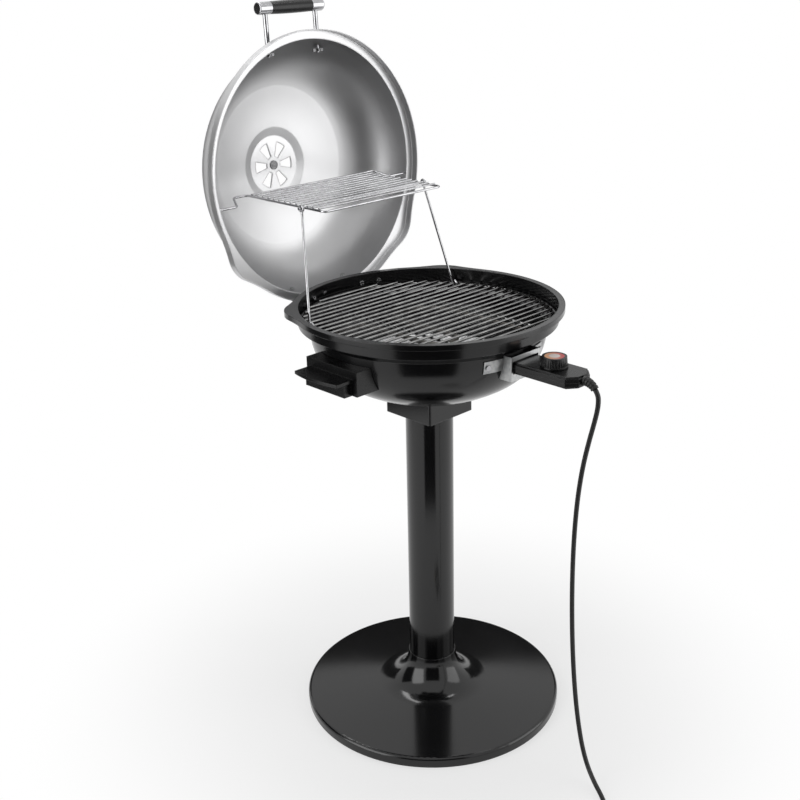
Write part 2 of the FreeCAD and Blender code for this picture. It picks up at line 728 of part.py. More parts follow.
node("cradle_bolts", group("cradle_bolts", [
    headed("cradle_bolt", spot, S.cradle_bolt_radius, cradle_bolt_end,
           S.cradle_bolt_head_radius, S.cradle_bolt_head_height) for spot in cradle_spots
]))
node("cradle_nuts", group("cradle_nuts", [
    hex_nut("cradle_nut", spot.point[0], spot.point[1], cradle_nut_z, S.cradle_nut_width,
            S.cradle_nut_height, S.cradle_bolt_radius + S.shaft_gap) for spot in cradle_spots
]))

# Bowl: the spun wall, then the rolled lip with its ears, then the holes
bowl = spun("bowl_blank", bowl_wall())
lip = sketch_on(bowl, "XY_Plane", lip_bottom)
trace(lip, eared(S.lip_radius, lip_ear, S.ear_round, S.ear_blend))
ring(lip, 0, 0, S.collar_radius - S.bowl_sheet / 2)
pad(bowl, lip, S.lip_drop)
lip_hollow = sketch_on(bowl, "XY_Plane", lip_bottom)
trace(lip_hollow, eared(S.lip_radius - S.bowl_sheet, lip_ear - S.bowl_sheet,
                        S.ear_round - S.bowl_sheet, S.ear_blend + S.bowl_sheet))
ring(lip_hollow, 0, 0, S.collar_radius)
pocket(bowl, lip_hollow, S.lip_drop - S.bowl_sheet, backwards=True)
window = sketch_on(bowl, "XZ_Plane", side_centre, S.element_z)
trace(window, rectangle(S.window_width / 2, -S.window_height / 2, S.window_height / 2))
pocket(bowl, window, S.bowl_radius, backwards=True)
through = 3 * S.bowl_sheet
bowl_holes = [rod("cradle_bolt_hole", spot, S.cradle_bolt_radius + S.seat_gap, 0, half_side)
              for spot in cradle_spots]
for side in (-1, 1):
    bowl_holes += [rod("side_screw_hole", spot, S.side_screw_radius + S.seat_gap, -through, S.side_screw_length)
                   for spot in side_screw_spots[side]]
    bowl_holes += [rod("rivet_hole", spot, S.rivet_radius + S.shaft_gap, -through, through)
                   for spot in rivet_spots[side]]
bowl_holes += [rod("guard_screw_hole", spot, S.guard_screw_radius + S.seat_gap, -through, 2 * through)
               for spot in guard_spots]
node("bowl", cut("bowl", bowl, bowl_holes))

# Drip pan: a shallow spun tray whose rim lies on the bowl
pan_rim_z = S.waist_z - root((S.bowl_side_round - S.bowl_sheet - S.seat_gap)
                              * (S.bowl_side_round - S.bowl_sheet - S.seat_gap)
                              - (S.pan_rim_radius - side_centre) * (S.pan_rim_radius - side_centre))
node("drip_pan", spun("drip_pan", [
    (0, S.pan_floor_z),
    (S.pan_floor_radius, S.pan_floor_z),
    (S.pan_rim_radius, pan_rim_z),
    (S.pan_rim_radius, pan_rim_z + S.pan_sheet),
    (S.pan_floor_radius, S.pan_floor_z + S.pan_sheet),
    (0, S.pan_floor_z + S.pan_sheet),
]))

# Heating element: one bent tube from terminal to terminal
half = [
    (S.terminal_x, -S.terminal_end, 0),
    (S.terminal_x, -S.element_front, S.terminal_bend),
    (S.element_half_width, -S.element_front, S.element_corner),
    (S.element_half_width, S.element_half_width, S.element_corner),
    (S.finger_x, S.element_half_width, S.finger_bend),
    (S.finger_x, -S.finger_front, S.finger_bend),
]
loop = half + [(-x, y, bend) for x, y, bend in reversed(half)]
element_line = centre_line([at(x, y, S.element_z) for x, y, bend in loop],
                           [size_of(bend).value for x, y, bend in loop[1:-1]])
node("heating_element", formed("heating_element", swept(element_line, S.element_wire.value)))

# Element brackets: bent strips from the bowl's wall to under the element's sides
bracket_top = S.element_z - S.element_wire - S.seat_gap
bracket_low = bracket_top - S.bracket_drop
bracket_wall = bowl_side(-S.bowl_sheet - S.seat_gap, bracket_low) - S.bracket_sheet
brackets = []
for side in (-1, 1):
    strip = new("PartDesign::Body", "element_bracket")
    pad(strip, trace(sketch_on(strip, "XZ_Plane"), [
        (S.bracket_inner * side, bracket_top),
        (S.bracket_inner * side, bracket_top - S.bracket_sheet),
        (bracket_wall * side, bracket_top - S.bracket_sheet),
        (bracket_wall * side, bracket_low),
        ((bracket_wall + S.bracket_sheet) * side, bracket_low),
        ((bracket_wall + S.bracket_sheet) * side, bracket_top),
    ]), S.bracket_width, both=True)
    brackets.append(strip)
node("element_brackets", group("element_brackets", brackets))

# Terminal plate: closes the window round the element's ends and the probe
plate_back = bowl_side(S.seat_gap, S.element_z + S.terminal_plate_height / 2)
plate = new("PartDesign::Body", "terminal_blank")
plate_half = S.terminal_plate_height / 2
pad(plate, trace(sketch_on(plate, "XZ_Plane", plate_back, S.element_z),
                 rectangle(S.terminal_plate_width / 2, -plate_half, plate_half)), S.terminal_plate_sheet)
plate = drilled("terminal_drilled", plate, terminal_spots, S.element_wire + S.seat_gap, 0, S.terminal_end)
node("terminal_plate", drilled("terminal_plate", plate, [probe_spot], S.probe_radius + S.seat_gap,
                               0, S.terminal_end))

# Cooking grate: a ring on the shoulder, bars across it and two stays under the bars
ring_in = S.grate_radius - S.bowl_radius + S.bowl_sheet
ring_z = (S.waist_z + corner_rise + ring_in * S.shoulder_rise / shoulder_run
          + (S.grate_ring_wire + S.seat_gap) * shoulder_slant / shoulder_run)
bar_z = ring_z + S.grate_ring_wire + S.grate_wire - S.weld_sink
hoop = new("Part::Torus", "grate_hoop")
bind(hoop, "Radius1", S.grate_radius)
bind(hoop, "Radius2", S.grate_ring_wire)
locate(hoop, 0, 0, ring_z)


def chord(distance):
    """Half the length of a bar across the hoop."""
    return root(S.grate_radius * S.grate_radius - distance * distance)


bar_count = int((S.grate_radius.value - S.grate_pitch.value / 2) / S.grate_pitch.value)
grate_pieces = [hoop]
for index in range(-bar_count, bar_count + 1):
    bar_y = S.grate_pitch * index
    grate_pieces.append(rod("grate_bar", Spot(0, bar_y, bar_z, (1, 0, 0)), S.grate_wire,
                            -chord(bar_y), chord(bar_y)))
stay_z = bar_z - 2 * S.grate_wire + S.weld_sink
for side in (-1, 1):
    stay_x = S.grate_stay_x * side
    grate_pieces.append(rod("grate_stay", Spot(stay_x, 0, stay_z, (0, 1, 0)), S.grate_wire,
                            -chord(stay_x), chord(stay_x)))
node("cooking_grate", fuse("cooking_grate", grate_pieces))

# Side handles: a moulded foot scooped to the bowl, a paddle with a bowed edge, and a box below it
for side, word in ((-1, "left"), (1, "right")):
    grip = new("PartDesign::Body", f"side_handle_{word}_blank")
    away = side < 0
    foot = sketch_on(grip, "YZ_Plane", side_centre * side)
    trace(foot, rectangle(S.side_width / 2, S.side_bottom, S.side_top))
    pad(grip, foot, S.side_reach - side_centre, backwards=away)
    paddle = sketch_on(grip, "XY_Plane", S.paddle_top - S.paddle_thickness)
    edge_x = S.side_reach + S.paddle_reach - S.paddle_crown
    bow = (S.paddle_crown * S.paddle_crown + S.paddle_width * S.paddle_width / 4) / (2 * S.paddle_crown)
    trace(paddle, [
        ((S.side_reach - S.paddle_thickness) * side, -S.paddle_width / 2),
        (edge_x * side, -S.paddle_width / 2),
        (edge_x * side, S.paddle_width / 2, bow, side),
        ((S.side_reach - S.paddle_thickness) * side, S.paddle_width / 2),
    ])
    pad(grip, paddle, S.paddle_thickness)
    box = sketch_on(grip, "YZ_Plane", (S.side_reach - S.paddle_thickness) * side)
    trace(box, rectangle(S.box_width / 2, S.paddle_top - S.paddle_thickness - S.box_drop,
                         S.paddle_top - S.paddle_thickness / 2))
    pad(grip, box, S.box_reach + S.paddle_thickness, backwards=away)
    scoop_low = S.side_bottom - S.paddle_thickness
    scoop_high = S.side_top + S.paddle_thickness
    scoop = sketch_on(grip, "XZ_Plane")
    trace(scoop, [
        (0, scoop_low),
        (bowl_side(S.seat_gap, scoop_low), scoop_low),
        (bowl_side(S.seat_gap, scoop_high), scoop_high, S.bowl_side_round + S.seat_gap, 1),
        (0, scoop_high),
    ])
    groove(grip, scoop)
    node(f"side_handle_{word}", drilled(f"side_handle_{word}", grip, side_screw_spots[side],
                                        S.side_screw_radius + S.shaft_gap, 0, S.side_screw_length))
node("side_handle_screws", group("side_handle_screws", [
    headed("side_handle_screw", spot, S.side_screw_radius, S.side_screw_length - S.side_screw_room,
           S.side_screw_head_radius, S.side_screw_head_height)
    for side in (-1, 1) for spot in side_screw_spots[side]
]))

# Probe guard: a bent sheet frame that the thermostat slides into
guard = new("PartDesign::Body", "guard_blank")
guard_half = S.guard_width / 2
front = sketch_on(guard, "XZ_Plane", S.guard_front - S.guard_sheet)
trace(front, rectangle(guard_half, S.guard_bottom, S.guard_top))
trace(front, rectangle(S.guard_window_width / 2, S.guard_window_bottom, S.guard_window_top))
pad(guard, front, S.guard_sheet)
wall_start = root(bowl_side(S.seat_gap, S.guard_bottom) * bowl_side(S.seat_gap, S.guard_bottom)
                  - guard_half * guard_half)
for side in (-1, 1):
    wall = sketch_on(guard, "YZ_Plane", guard_half * side)
    trace(wall, [
        (-S.guard_front, S.guard_bottom),
        (-wall_start, S.guard_bottom),
        (-wall_start, S.guard_top),
        (-S.guard_front, S.guard_top),
    ])
    pad(guard, wall, S.guard_sheet, backwards=side > 0)
guard_scoop_low = S.guard_bottom - S.guard_sheet
guard_scoop_high = S.guard_top + S.guard_sheet
scoop = sketch_on(guard, "XZ_Plane")
trace(scoop, [
    (0, guard_scoop_low),
    (bowl_side(S.seat_gap, guard_scoop_low), guard_scoop_low),
    (bowl_side(S.seat_gap, guard_scoop_high), guard_scoop_high, S.bowl_side_round + S.seat_gap, 1),
    (0, guard_scoop_high),
])
groove(guard, scoop)
tab_start = math.degrees(math.asin(guard_half.value / guard_screw_r.value))
for side in (-1, 1):
    tab = sketch_on(guard, "XZ_Plane", turn=side * (tab_start + S.guard_tab_angle / 2) - 90)
    inner, outer = S.seat_gap, S.seat_gap + S.guard_sheet
    trace(tab, [
        (bowl_side(inner, S.guard_tab_bottom), S.guard_tab_bottom, S.bowl_side_round + inner, -1),
        (bowl_side(outer, S.guard_tab_bottom), S.guard_tab_bottom),
        (bowl_side(outer, S.guard_tab_top), S.guard_tab_top, S.bowl_side_round + outer, 1),
        (bowl_side(inner, S.guard_tab_top), S.guard_tab_top),
    ])
    revolution(guard, tab, S.guard_tab_angle, both=True)
node("probe_guard", drilled("probe_guard", guard, guard_spots, S.guard_screw_radius + S.shaft_gap,
                            -through, through))
node("guard_screws", group("guard_screws", [
    headed("guard_screw", spot, S.guard_screw_radius, S.guard_screw_length,
           S.guard_screw_head_radius, S.guard_screw_head_height) for spot in guard_spots
]))

# Thermostat: two moulded, stepped halves that close on the element's ends and the probe
nose_y = S.box_outer - S.box_nose
box_top = S.element_z + S.box_half_height
slab_height = S.box_half_height - S.box_step_height


def box_plan(inset):
    """The box seen from above: straight sides that draw in to a short nose."""
    half_width = S.box_half_width - inset
    half_nose = S.box_nose_width / 2 - inset
    return [
        (-half_width, -S.box_inner),
        (-half_width, -nose_y),
        (-half_nose, inset - S.box_outer),
        (half_nose, inset - S.box_outer),
        (half_width, -nose_y),
        (half_width, -S.box_inner),
    ]


dial_spot = Spot(0, -S.dial_y, box_top, (0, 0, -1))
for word, way in (("base", -1), ("cover", 1)):
    shell = new("PartDesign::Body", f"thermostat_{word}_blank")
    pad(shell, trace(sketch_on(shell, "XY_Plane", S.element_z), box_plan(0)), slab_height, backwards=way < 0)
    step = sketch_on(shell, "XY_Plane", S.element_z + slab_height * way)
    pad(shell, trace(step, box_plan(S.box_step)), S.box_step_height, backwards=way < 0)
    socket_start = S.box_inner - S.cut_past
    sockets = [rod("terminal_socket", spot, S.element_wire + S.seat_gap, socket_start,
                   S.terminal_end + S.cut_past) for spot in terminal_spots]
    sockets.append(rod("probe_socket", probe_spot, S.probe_radius + S.shaft_gap, socket_start,
                       S.box_inner + S.probe_seat))
    if word == "cover":
        sockets.append(rod("shaft_hole", dial_spot, S.shaft_radius + S.shaft_gap, -S.cut_past,
                           S.box_half_height))
    node(f"thermostat_{word}", cut(f"thermostat_{word}", shell, sockets))
node("probe_tube", rod("probe_tube", probe_spot, S.probe_radius, S.probe_inner, S.box_inner + S.probe_seat))

# Dial: a ribbed knob on a shaft, with a round insert in its top
flange_z = box_top + S.dial_gap
skirt_z = flange_z + S.dial_flange
dial_top = skirt_z + S.dial_height
insert_z = dial_top - S.insert_depth
knob = spun("dial_knob", [
    (0, box_top - S.shaft_length),
    (S.shaft_radius, box_top - S.shaft_length),
    (S.shaft_radius, flange_z),
    (S.dial_flange_radius, flange_z),
    (S.dial_flange_radius, skirt_z),
    (S.dial_radius, skirt_z),
    (S.dial_top_radius, dial_top),
    (S.insert_radius + S.shaft_gap, dial_top),
    (S.insert_radius + S.shaft_gap, insert_z),
    (0, insert_z),
])
groove_between = pocket(knob, ring(sketch_on(knob, "XY_Plane", dial_top), S.dial_radius, 0, S.rib_groove),
                        S.dial_height)
ribs = knob.newObject("PartDesign::PolarPattern", "dial_rib_pattern")
ribs.Originals = [groove_between]
ribs.Axis = (plane(knob, "Z_Axis"), [""])
ribs.Angle = 360
ribs.setExpression("Occurrences", S.dial_ribs.text)
knob.Tip = ribs
node("dial_knob", locate(knob, 0, -S.dial_y, 0))
insert = spun("dial_insert", [
    (0, insert_z),
    (S.insert_radius, insert_z),
    (S.insert_radius, dial_top),
    (0, dial_top),
])
node("dial_insert", locate(insert, 0, -S.dial_y, 0))

# Lid: a dome over a skirt with ears, modelled closed with the hinge axis as its own X axis
lid_lip = S.lid_lip_z - S.hinge_z
dome_crown = oval_crown(S.dome_radius, S.dome_height, S.dome_side_round)
dome_flat = S.dome_radius - S.dome_side_round
boss_top = S.skirt_height + S.dome_height
lid_ear = S.lid_radius + S.ear_rise


def dome_side(offset, rise):
    """The radius of the dome's side at a height above the lip, with an offset outwards."""
    reach = S.dome_side_round + offset
    climb = rise - S.skirt_height
    return dome_flat + root(reach * reach - climb * climb)


def dome_roof(offset, radius):
    """The height of the dome's top arc above the lip at a radius, with an offset outwards."""
    reach = dome_crown + offset
    return boss_top - dome_crown + root(reach * reach - radius * radius)


def dome_join(offset):
    """Where the dome's top arc meets its side arc, with an offset outwards."""
    radius, climb = oval_join(S.dome_radius, S.dome_height, S.dome_side_round, offset)
    return radius, S.skirt_height + climb


def lid_sketch(body, rise=0):
    """A sketch square to the lid's axis, at a height above the lip."""
    return sketch_on(body, "XY_Plane", lid_lip + rise, -S.hinge_y)


def lid_profile(body, turn=0):
    """A sketch through the lid's axis, with heights measured from the lip."""
    return sketch_on(body, "XZ_Plane", S.hinge_y, lid_lip, turn)


def vents(body, rise, depth):
    """Six wedge openings about the lid's axis, cut down from a height above the lip."""
    lean = S.vent_angle / 2
    wedge = trace(lid_sketch(body, rise), [
        (S.vent_inner * cosine(lean), -S.vent_inner * sine(lean), S.vent_inner, -1),
        (S.vent_outer * cosine(lean), -S.vent_outer * sine(lean)),
        (S.vent_outer * cosine(lean), S.vent_outer * sine(lean), S.vent_outer, 1),
        (S.vent_inner * cosine(lean), S.vent_inner * sine(lean)),
    ])
    opening = pocket(body, wedge, depth)
    pattern = body.newObject("PartDesign::PolarPattern", body.Name + "_vents")
    pattern.Originals = [opening]
    pattern.Axis = (wedge, ["N_Axis"])
    pattern.Angle = 360
    pattern.setExpression("Occurrences", S.vent_count.text)
    body.Tip = pattern


lid = new("PartDesign::Body", "lid_blank")
inner_sheet = -S.lid_sheet
revolution(lid, trace(lid_profile(lid), [
    (0, boss_top),
    (S.boss_radius, boss_top),
    (S.boss_rim, dome_roof(0, S.boss_rim)),
    (*dome_join(0), dome_crown, -1),
    (S.dome_radius, S.skirt_height, S.dome_side_round, -1),
    (S.dome_radius, S.skirt_height - S.lid_sheet),
    (S.dome_radius - S.lid_sheet, S.skirt_height - S.lid_sheet),
    (S.dome_radius - S.lid_sheet, S.skirt_height),
    (*dome_join(inner_sheet), S.dome_side_round - S.lid_sheet, 1),
    (S.boss_rim, dome_roof(inner_sheet, S.boss_rim), dome_crown - S.lid_sheet, 1),
    (S.boss_radius, boss_top - S.lid_sheet),
    (0, boss_top - S.lid_sheet),
]))
skirt = lid_sketch(lid)
trace(skirt, eared(S.lid_radius, lid_ear, S.ear_round, S.ear_blend))
ring(skirt, 0, 0, S.dome_radius - S.lid_sheet / 2)
pad(lid, skirt, S.skirt_height)
skirt_hollow = lid_sketch(lid)
trace(skirt_hollow, eared(S.lid_radius - S.lid_sheet, lid_ear - S.lid_sheet,
                          S.ear_round - S.lid_sheet, S.ear_blend + S.lid_sheet))
pocket(lid, skirt_hollow, S.skirt_height - S.lid_sheet, backwards=True)
vents(lid, boss_top, 2 * S.lid_sheet)

# Places on the lid: the handle's posts, the hinge screws, the rack's side holes and the vent rivet
post_dome = dome_side(0, S.handle_rise)
post_start = root(post_dome * post_dome - S.post_spacing * S.post_spacing / 4)
post_spots = [
    Spot(S.post_spacing / 2 * side, -S.hinge_y - post_start, lid_lip + S.handle_rise, (0, -1, 0))
    for side in (-1, 1)
]
strap_cover = S.seat_gap + S.hinge_sheet
strap_screw_up = S.strap_screw_rise / (S.dome_side_round + strap_cover)
strap_screw_in = root(1 - strap_screw_up * strap_screw_up)
strap_screw_r = dome_side(strap_cover, S.skirt_height + S.strap_screw_rise)


def strap_spot(side):
    """The screw through a hinge strap and the dome, pointing into the lid."""
    angle = size_of(90 + side * (hinge_angle - 90))
    across, along = cosine(angle), sine(angle)
    return Spot(strap_screw_r * across, strap_screw_r * along - S.hinge_y,
                lid_lip + S.skirt_height + S.strap_screw_rise,
                (-strap_screw_in * across, -strap_screw_in * along, -strap_screw_up))


strap_spots = [strap_spot(side) for side in (-1, 1)]
swing_across, swing_up = cosine(S.open_angle), sine(S.open_angle)
arm_y = S.crank_y * swing_across - S.crank_z * swing_up
arm_z = S.crank_y * swing_up + S.crank_z * swing_across
arm_spot = Spot(0, arm_y, arm_z, (1, 0, 0))
rivet_spot = Spot(0, -S.hinge_y, lid_lip + boss_top, (0, 0, 1))
lid_holes = [rod("post_hole", spot, S.stud_radius + S.seat_gap, -2 * S.stud_length, S.stud_length)
             for spot in post_spots]
lid_holes += [rod("strap_screw_hole", spot, S.strap_screw_radius + S.seat_gap, 0, 4 * strap_cover)
              for spot in strap_spots]
lid_holes.append(rod("arm_holes", arm_spot, S.rack_wire + S.eye_gap, -S.lid_radius, S.lid_radius))
lid_holes.append(rod("vent_rivet_hole", rivet_spot, S.vent_rivet_radius + S.shaft_gap,
                     -2 * S.lid_sheet, S.cut_past))
node("lid_shell", swing(cut("lid_shell", lid, lid_holes)))

# Vent damper: a slotted disc on the boss, with a bent tab, turning on a rivet
damper = new("PartDesign::Body", "vent_damper")
damper_low = boss_top + S.seat_gap
damper_high = damper_low + S.damper_sheet
disc = lid_sketch(damper, damper_low)
ring(disc, 0, 0, S.damper_radius)
ring(disc, 0, 0, S.vent_rivet_radius + S.shaft_gap)
pad(damper, disc, S.damper_sheet)
tab = sketch_on(damper, "XZ_Plane", S.hinge_y - S.damper_radius + S.damper_sheet, lid_lip)
trace(tab, rectangle(S.damper_tab_width / 2, damper_low, damper_high + S.damper_tab))
pad(damper, tab, S.damper_sheet)
vents(damper, damper_high, 2 * S.damper_sheet)
node("vent_damper", swing(damper))
node("vent_rivet", swing(fuse("vent_rivet", [
    rod("vent_rivet_shank", rivet_spot, S.vent_rivet_radius, -S.lid_sheet - S.vent_rivet_head_height,
        2 * S.seat_gap + S.damper_sheet),
    rod("vent_rivet_cap", rivet_spot, S.vent_rivet_head_radius, 2 * S.seat_gap + S.damper_sheet,
        2 * S.seat_gap + S.damper_sheet + S.vent_rivet_head_height),
    rod("vent_rivet_foot", rivet_spot, S.vent_rivet_head_radius, -S.lid_sheet - S.vent_rivet_head_height,
        -S.lid_sheet),
])))

# Lid handle: two studs through the dome carry two metal caps with a grip between them
handle_line = S.hinge_y + S.handle_reach
handle_z = lid_lip + S.handle_rise
cap_start = S.handle_length / 2 - S.handle_cap_length
post_end = S.handle_reach - S.handle_radius + S.post_depth - post_start
node("handle_posts", swing(group("handle_posts", [
    fuse("handle_post", [
        rod("handle_stud", spot, S.stud_radius, -S.stud_length, S.post_lift),
        rod("handle_shank", spot, S.post_radius, S.post_lift, post_end),
    ]) for spot in post_spots
])))
for side, word in ((-1, "left"), (1, "right")):
    cap = new("PartDesign::Body", f"handle_cap_{word}_blank")
    cap_end = S.handle_length / 2
    outline = trace(sketch_on(cap, "XZ_Plane", handle_line, handle_z), [
        (cap_start * side, 0),
        (cap_start * side, S.handle_radius),
        ((cap_end - S.cap_round) * side, S.handle_radius),
        (cap_end * side, S.handle_radius - S.cap_round, S.cap_round, -side),
        (cap_end * side, 0),
    ])
    revolution(cap, outline, axis="H_Axis")
    spot = post_spots[0] if side < 0 else post_spots[1]
    node(f"handle_cap_{word}", swing(drilled(f"handle_cap_{word}", cap, [spot], S.post_radius + S.shaft_gap,
                                             0, post_end + S.seat_gap)))
grip = new("PartDesign::Body", "handle_grip")
swell = (cap_start * cap_start + S.grip_swell * S.grip_swell) / (2 * S.grip_swell)
revolution(grip, trace(sketch_on(grip, "XZ_Plane", handle_line, handle_z), [
    (-cap_start, 0),
    (cap_start, 0),
    (cap_start, S.handle_radius),
    (-cap_start, S.handle_radius, swell, 1),
]), axis="H_Axis")
node("handle_grip", swing(grip))
wings = []
for spot in post_spots:
    back = S.wing_nut_start + S.wing_nut_height
    hub = rod("wing_hub", spot, S.wing_nut_radius, -back, -S.wing_nut_start)
    blade = new("Part::Box", "wing_blade")
    bind(blade, "Length", S.wing_span)
    bind(blade, "Width", S.wing_nut_height)
    bind(blade, "Height", S.wing_sheet)
    x, y, z = spot.ahead(-S.wing_nut_start)
    locate(blade, x - S.wing_span / 2, y, z - S.wing_sheet / 2)
    wings.append(drilled("wing_nut", fuse("wing_blank", [hub, blade]), [spot], S.stud_radius + S.shaft_gap,
                         -back - S.cut_past, S.cut_past - S.wing_nut_start))
node("wing_nuts", swing(group("wing_nuts", wings)))

# Hinges: a riveted bracket on the collar, a strap on the lid and a pin through both
ear_gap = S.knuckle_length / 2 + S.seat_gap
bracket_inner_r = S.collar_radius + S.seat_gap
bracket_outer_r = bracket_inner_r + S.hinge_sheet
bracket_high = bracket_bottom + S.bracket_height
ear_root = S.hinge_y - S.bracket_ear_depth
flange_angle = 2 * (ear_gap + S.hinge_sheet) / bracket_outer_r * math.degrees(1)
leg_angle = S.strap_neck / S.lid_radius * math.degrees(1)
strap_inner = S.lid_radius + S.seat_gap
strap_outer = strap_inner + S.hinge_sheet
strap_end = S.skirt_height + S.strap_rise
knuckle_rise = -lid_lip
strap_low = knuckle_rise + S.bracket_ear_radius + S.hinge_sheet
hinge_pins = []
for side, word in ((-1, "left"), (1, "right")):
    turn = size_of(90 + side * (hinge_angle - 90))
    centre_x = S.hinge_x * side
    bracket = new("PartDesign::Body", f"bowl_hinge_{word}_blank")
    strip = sketch_on(bracket, "XZ_Plane", turn=turn)
    trace(strip, [
        (bracket_inner_r, bracket_bottom),
        (bracket_outer_r, bracket_bottom),
        (bracket_outer_r, bracket_high),
        (bracket_inner_r, bracket_high),
    ])
    revolution(bracket, strip, S.bracket_angle, both=True)
    flange = sketch_on(bracket, "XZ_Plane", turn=turn)
    trace(flange, [
        (bracket_inner_r, bracket_bottom),
        (bracket_inner_r + S.flange_reach, bracket_bottom),
        (bracket_inner_r + S.flange_reach, bracket_bottom + S.hinge_sheet),
        (bracket_inner_r, bracket_bottom + S.hinge_sheet),
    ])
    revolution(bracket, flange, flange_angle, both=True)
    for ear_side in (-1, 1):
        start = centre_x + ear_gap * ear_side
        ear = trace(sketch_on(bracket, "YZ_Plane", start), [
            (ear_root, bracket_high),
            (ear_root, bracket_bottom),
            (S.hinge_y - S.bracket_ear_radius, S.hinge_z),
            (S.hinge_y, S.hinge_z - S.bracket_ear_radius, S.bracket_ear_radius, 1),
            (S.hinge_y + S.bracket_ear_radius, S.hinge_z, S.bracket_ear_radius, 1),
        ])
        pad(bracket, ear, S.hinge_sheet, backwards=ear_side < 0)
    clear = sketch_on(bracket, "XZ_Plane")
    trace(clear, [
        (0, S.hinge_z - S.bracket_ear_radius),
        (bracket_inner_r, S.hinge_z - S.bracket_ear_radius),
        (bracket_inner_r, S.rim_top),
        (0, S.rim_top),
    ])
    groove(bracket, clear)
    pin_spot = Spot(centre_x, S.hinge_y, S.hinge_z, (1, 0, 0))
    pin_reach = ear_gap + S.hinge_sheet
    holes = [rod("bracket_pin_hole", pin_spot, S.hinge_pin_radius + S.shaft_gap, -2 * pin_reach, 2 * pin_reach)]
    holes += [rod("bracket_rivet_hole", spot, S.rivet_radius + S.shaft_gap, 0, 2 * through)
              for spot in rivet_spots[side]]
    node(f"bowl_hinge_{word}", cut(f"bowl_hinge_{word}", bracket, holes))
    hinge_pins.append(fuse("hinge_pin", [
        rod("hinge_pin_shank", pin_spot, S.hinge_pin_radius, -pin_reach - S.seat_gap, pin_reach + S.seat_gap),
        rod("hinge_pin_head", pin_spot, S.hinge_pin_radius + S.hinge_sheet / 2, pin_reach + S.seat_gap,
            pin_reach + S.seat_gap + S.hinge_sheet / 2),
        rod("hinge_pin_foot", pin_spot, S.hinge_pin_radius + S.hinge_sheet / 2,
            -pin_reach - S.seat_gap - S.hinge_sheet / 2, -pin_reach - S.seat_gap),
    ]))

    strap = new("PartDesign::Body", f"lid_hinge_{word}_blank")
    leg = lid_profile(strap, turn)
    trace(leg, [
        (strap_inner, knuckle_rise),
        (strap_outer, knuckle_rise),
        (strap_outer, strap_low + S.hinge_sheet),
        (strap_inner, strap_low + S.hinge_sheet),
    ])
    revolution(strap, leg, leg_angle, both=True)
    plate_line = lid_profile(strap, turn)
    trace(plate_line, [
        (strap_inner, strap_low),
        (strap_outer, strap_low),
        (strap_outer, S.skirt_height + strap_cover),
        (dome_side(strap_cover, S.skirt_height + strap_cover), S.skirt_height + strap_cover),
        (dome_side(strap_cover, strap_end), strap_end, S.dome_side_round + strap_cover, 1),
        (dome_side(S.seat_gap, strap_end), strap_end),
        (dome_side(S.seat_gap, S.skirt_height + S.seat_gap), S.skirt_height + S.seat_gap,
         S.dome_side_round + S.seat_gap, -1),
        (strap_inner, S.skirt_height + S.seat_gap),
    ])
    revolution(strap, plate_line, S.strap_angle, both=True)
    pad(strap, ring(sketch_on(strap, "YZ_Plane", centre_x), 0, 0, S.knuckle_radius), S.knuckle_length, both=True)
    stop = sketch_on(strap, "YZ_Plane", centre_x)
    trace(stop, [
        (-S.stop_height, -S.stop_length),
        (S.stop_thickness - S.stop_height, -S.stop_length),
        (S.stop_thickness - S.stop_height, 0),
        (-S.stop_height, 0),
    ])
    pad(strap, stop, S.stop_width, both=True)
    knuckle_spot = Spot(centre_x, 0, 0, (1, 0, 0))
    holes = [rod("knuckle_hole", knuckle_spot, S.hinge_pin_radius + S.shaft_gap, -pin_reach, pin_reach)]
    holes.append(rod("strap_hole", strap_spot(side), S.strap_screw_radius + S.shaft_gap, -through, through))
    node(f"lid_hinge_{word}", swing(cut(f"lid_hinge_{word}", strap, holes)))
node("hinge_pins", group("hinge_pins", hinge_pins))
rivet_tail = S.bowl_sheet + S.seat_gap + S.hinge_sheet
node("hinge_rivets", group("hinge_rivets", [
    fuse("hinge_rivet", [
        rod("hinge_rivet_shank", spot, S.rivet_radius, -S.seat_gap, rivet_tail + S.seat_gap),
        rod("hinge_rivet_head", spot, S.rivet_head_radius, -S.seat_gap - S.rivet_head_height, -S.seat_gap),
        rod("hinge_rivet_tail", spot, S.rivet_tail_radius, rivet_tail + S.seat_gap,
            rivet_tail + S.seat_gap + S.rivet_head_height),
    ]) for side in (-1, 1) for spot in rivet_spots[side]
]))
strap_nut_start = strap_cover + S.lid_sheet + 2 * S.seat_gap
node("lid_hinge_screws", swing(group("lid_hinge_screws", [
    headed("lid_hinge_screw", spot, S.strap_screw_radius,
           strap_nut_start + S.strap_nut_height + S.strap_screw_past,
           S.strap_screw_head_radius, S.strap_screw_head_height) for spot in strap_spots
])))
node("lid_hinge_nuts", swing(group("lid_hinge_nuts", [
    drilled("lid_hinge_nut",
            rod("lid_hinge_nut_blank", spot, S.strap_screw_head_radius, strap_nut_start,
                strap_nut_start + S.strap_nut_height),
            [spot], S.strap_screw_radius + S.shaft_gap, 0, 4 * strap_nut_start) for spot in strap_spots
])))

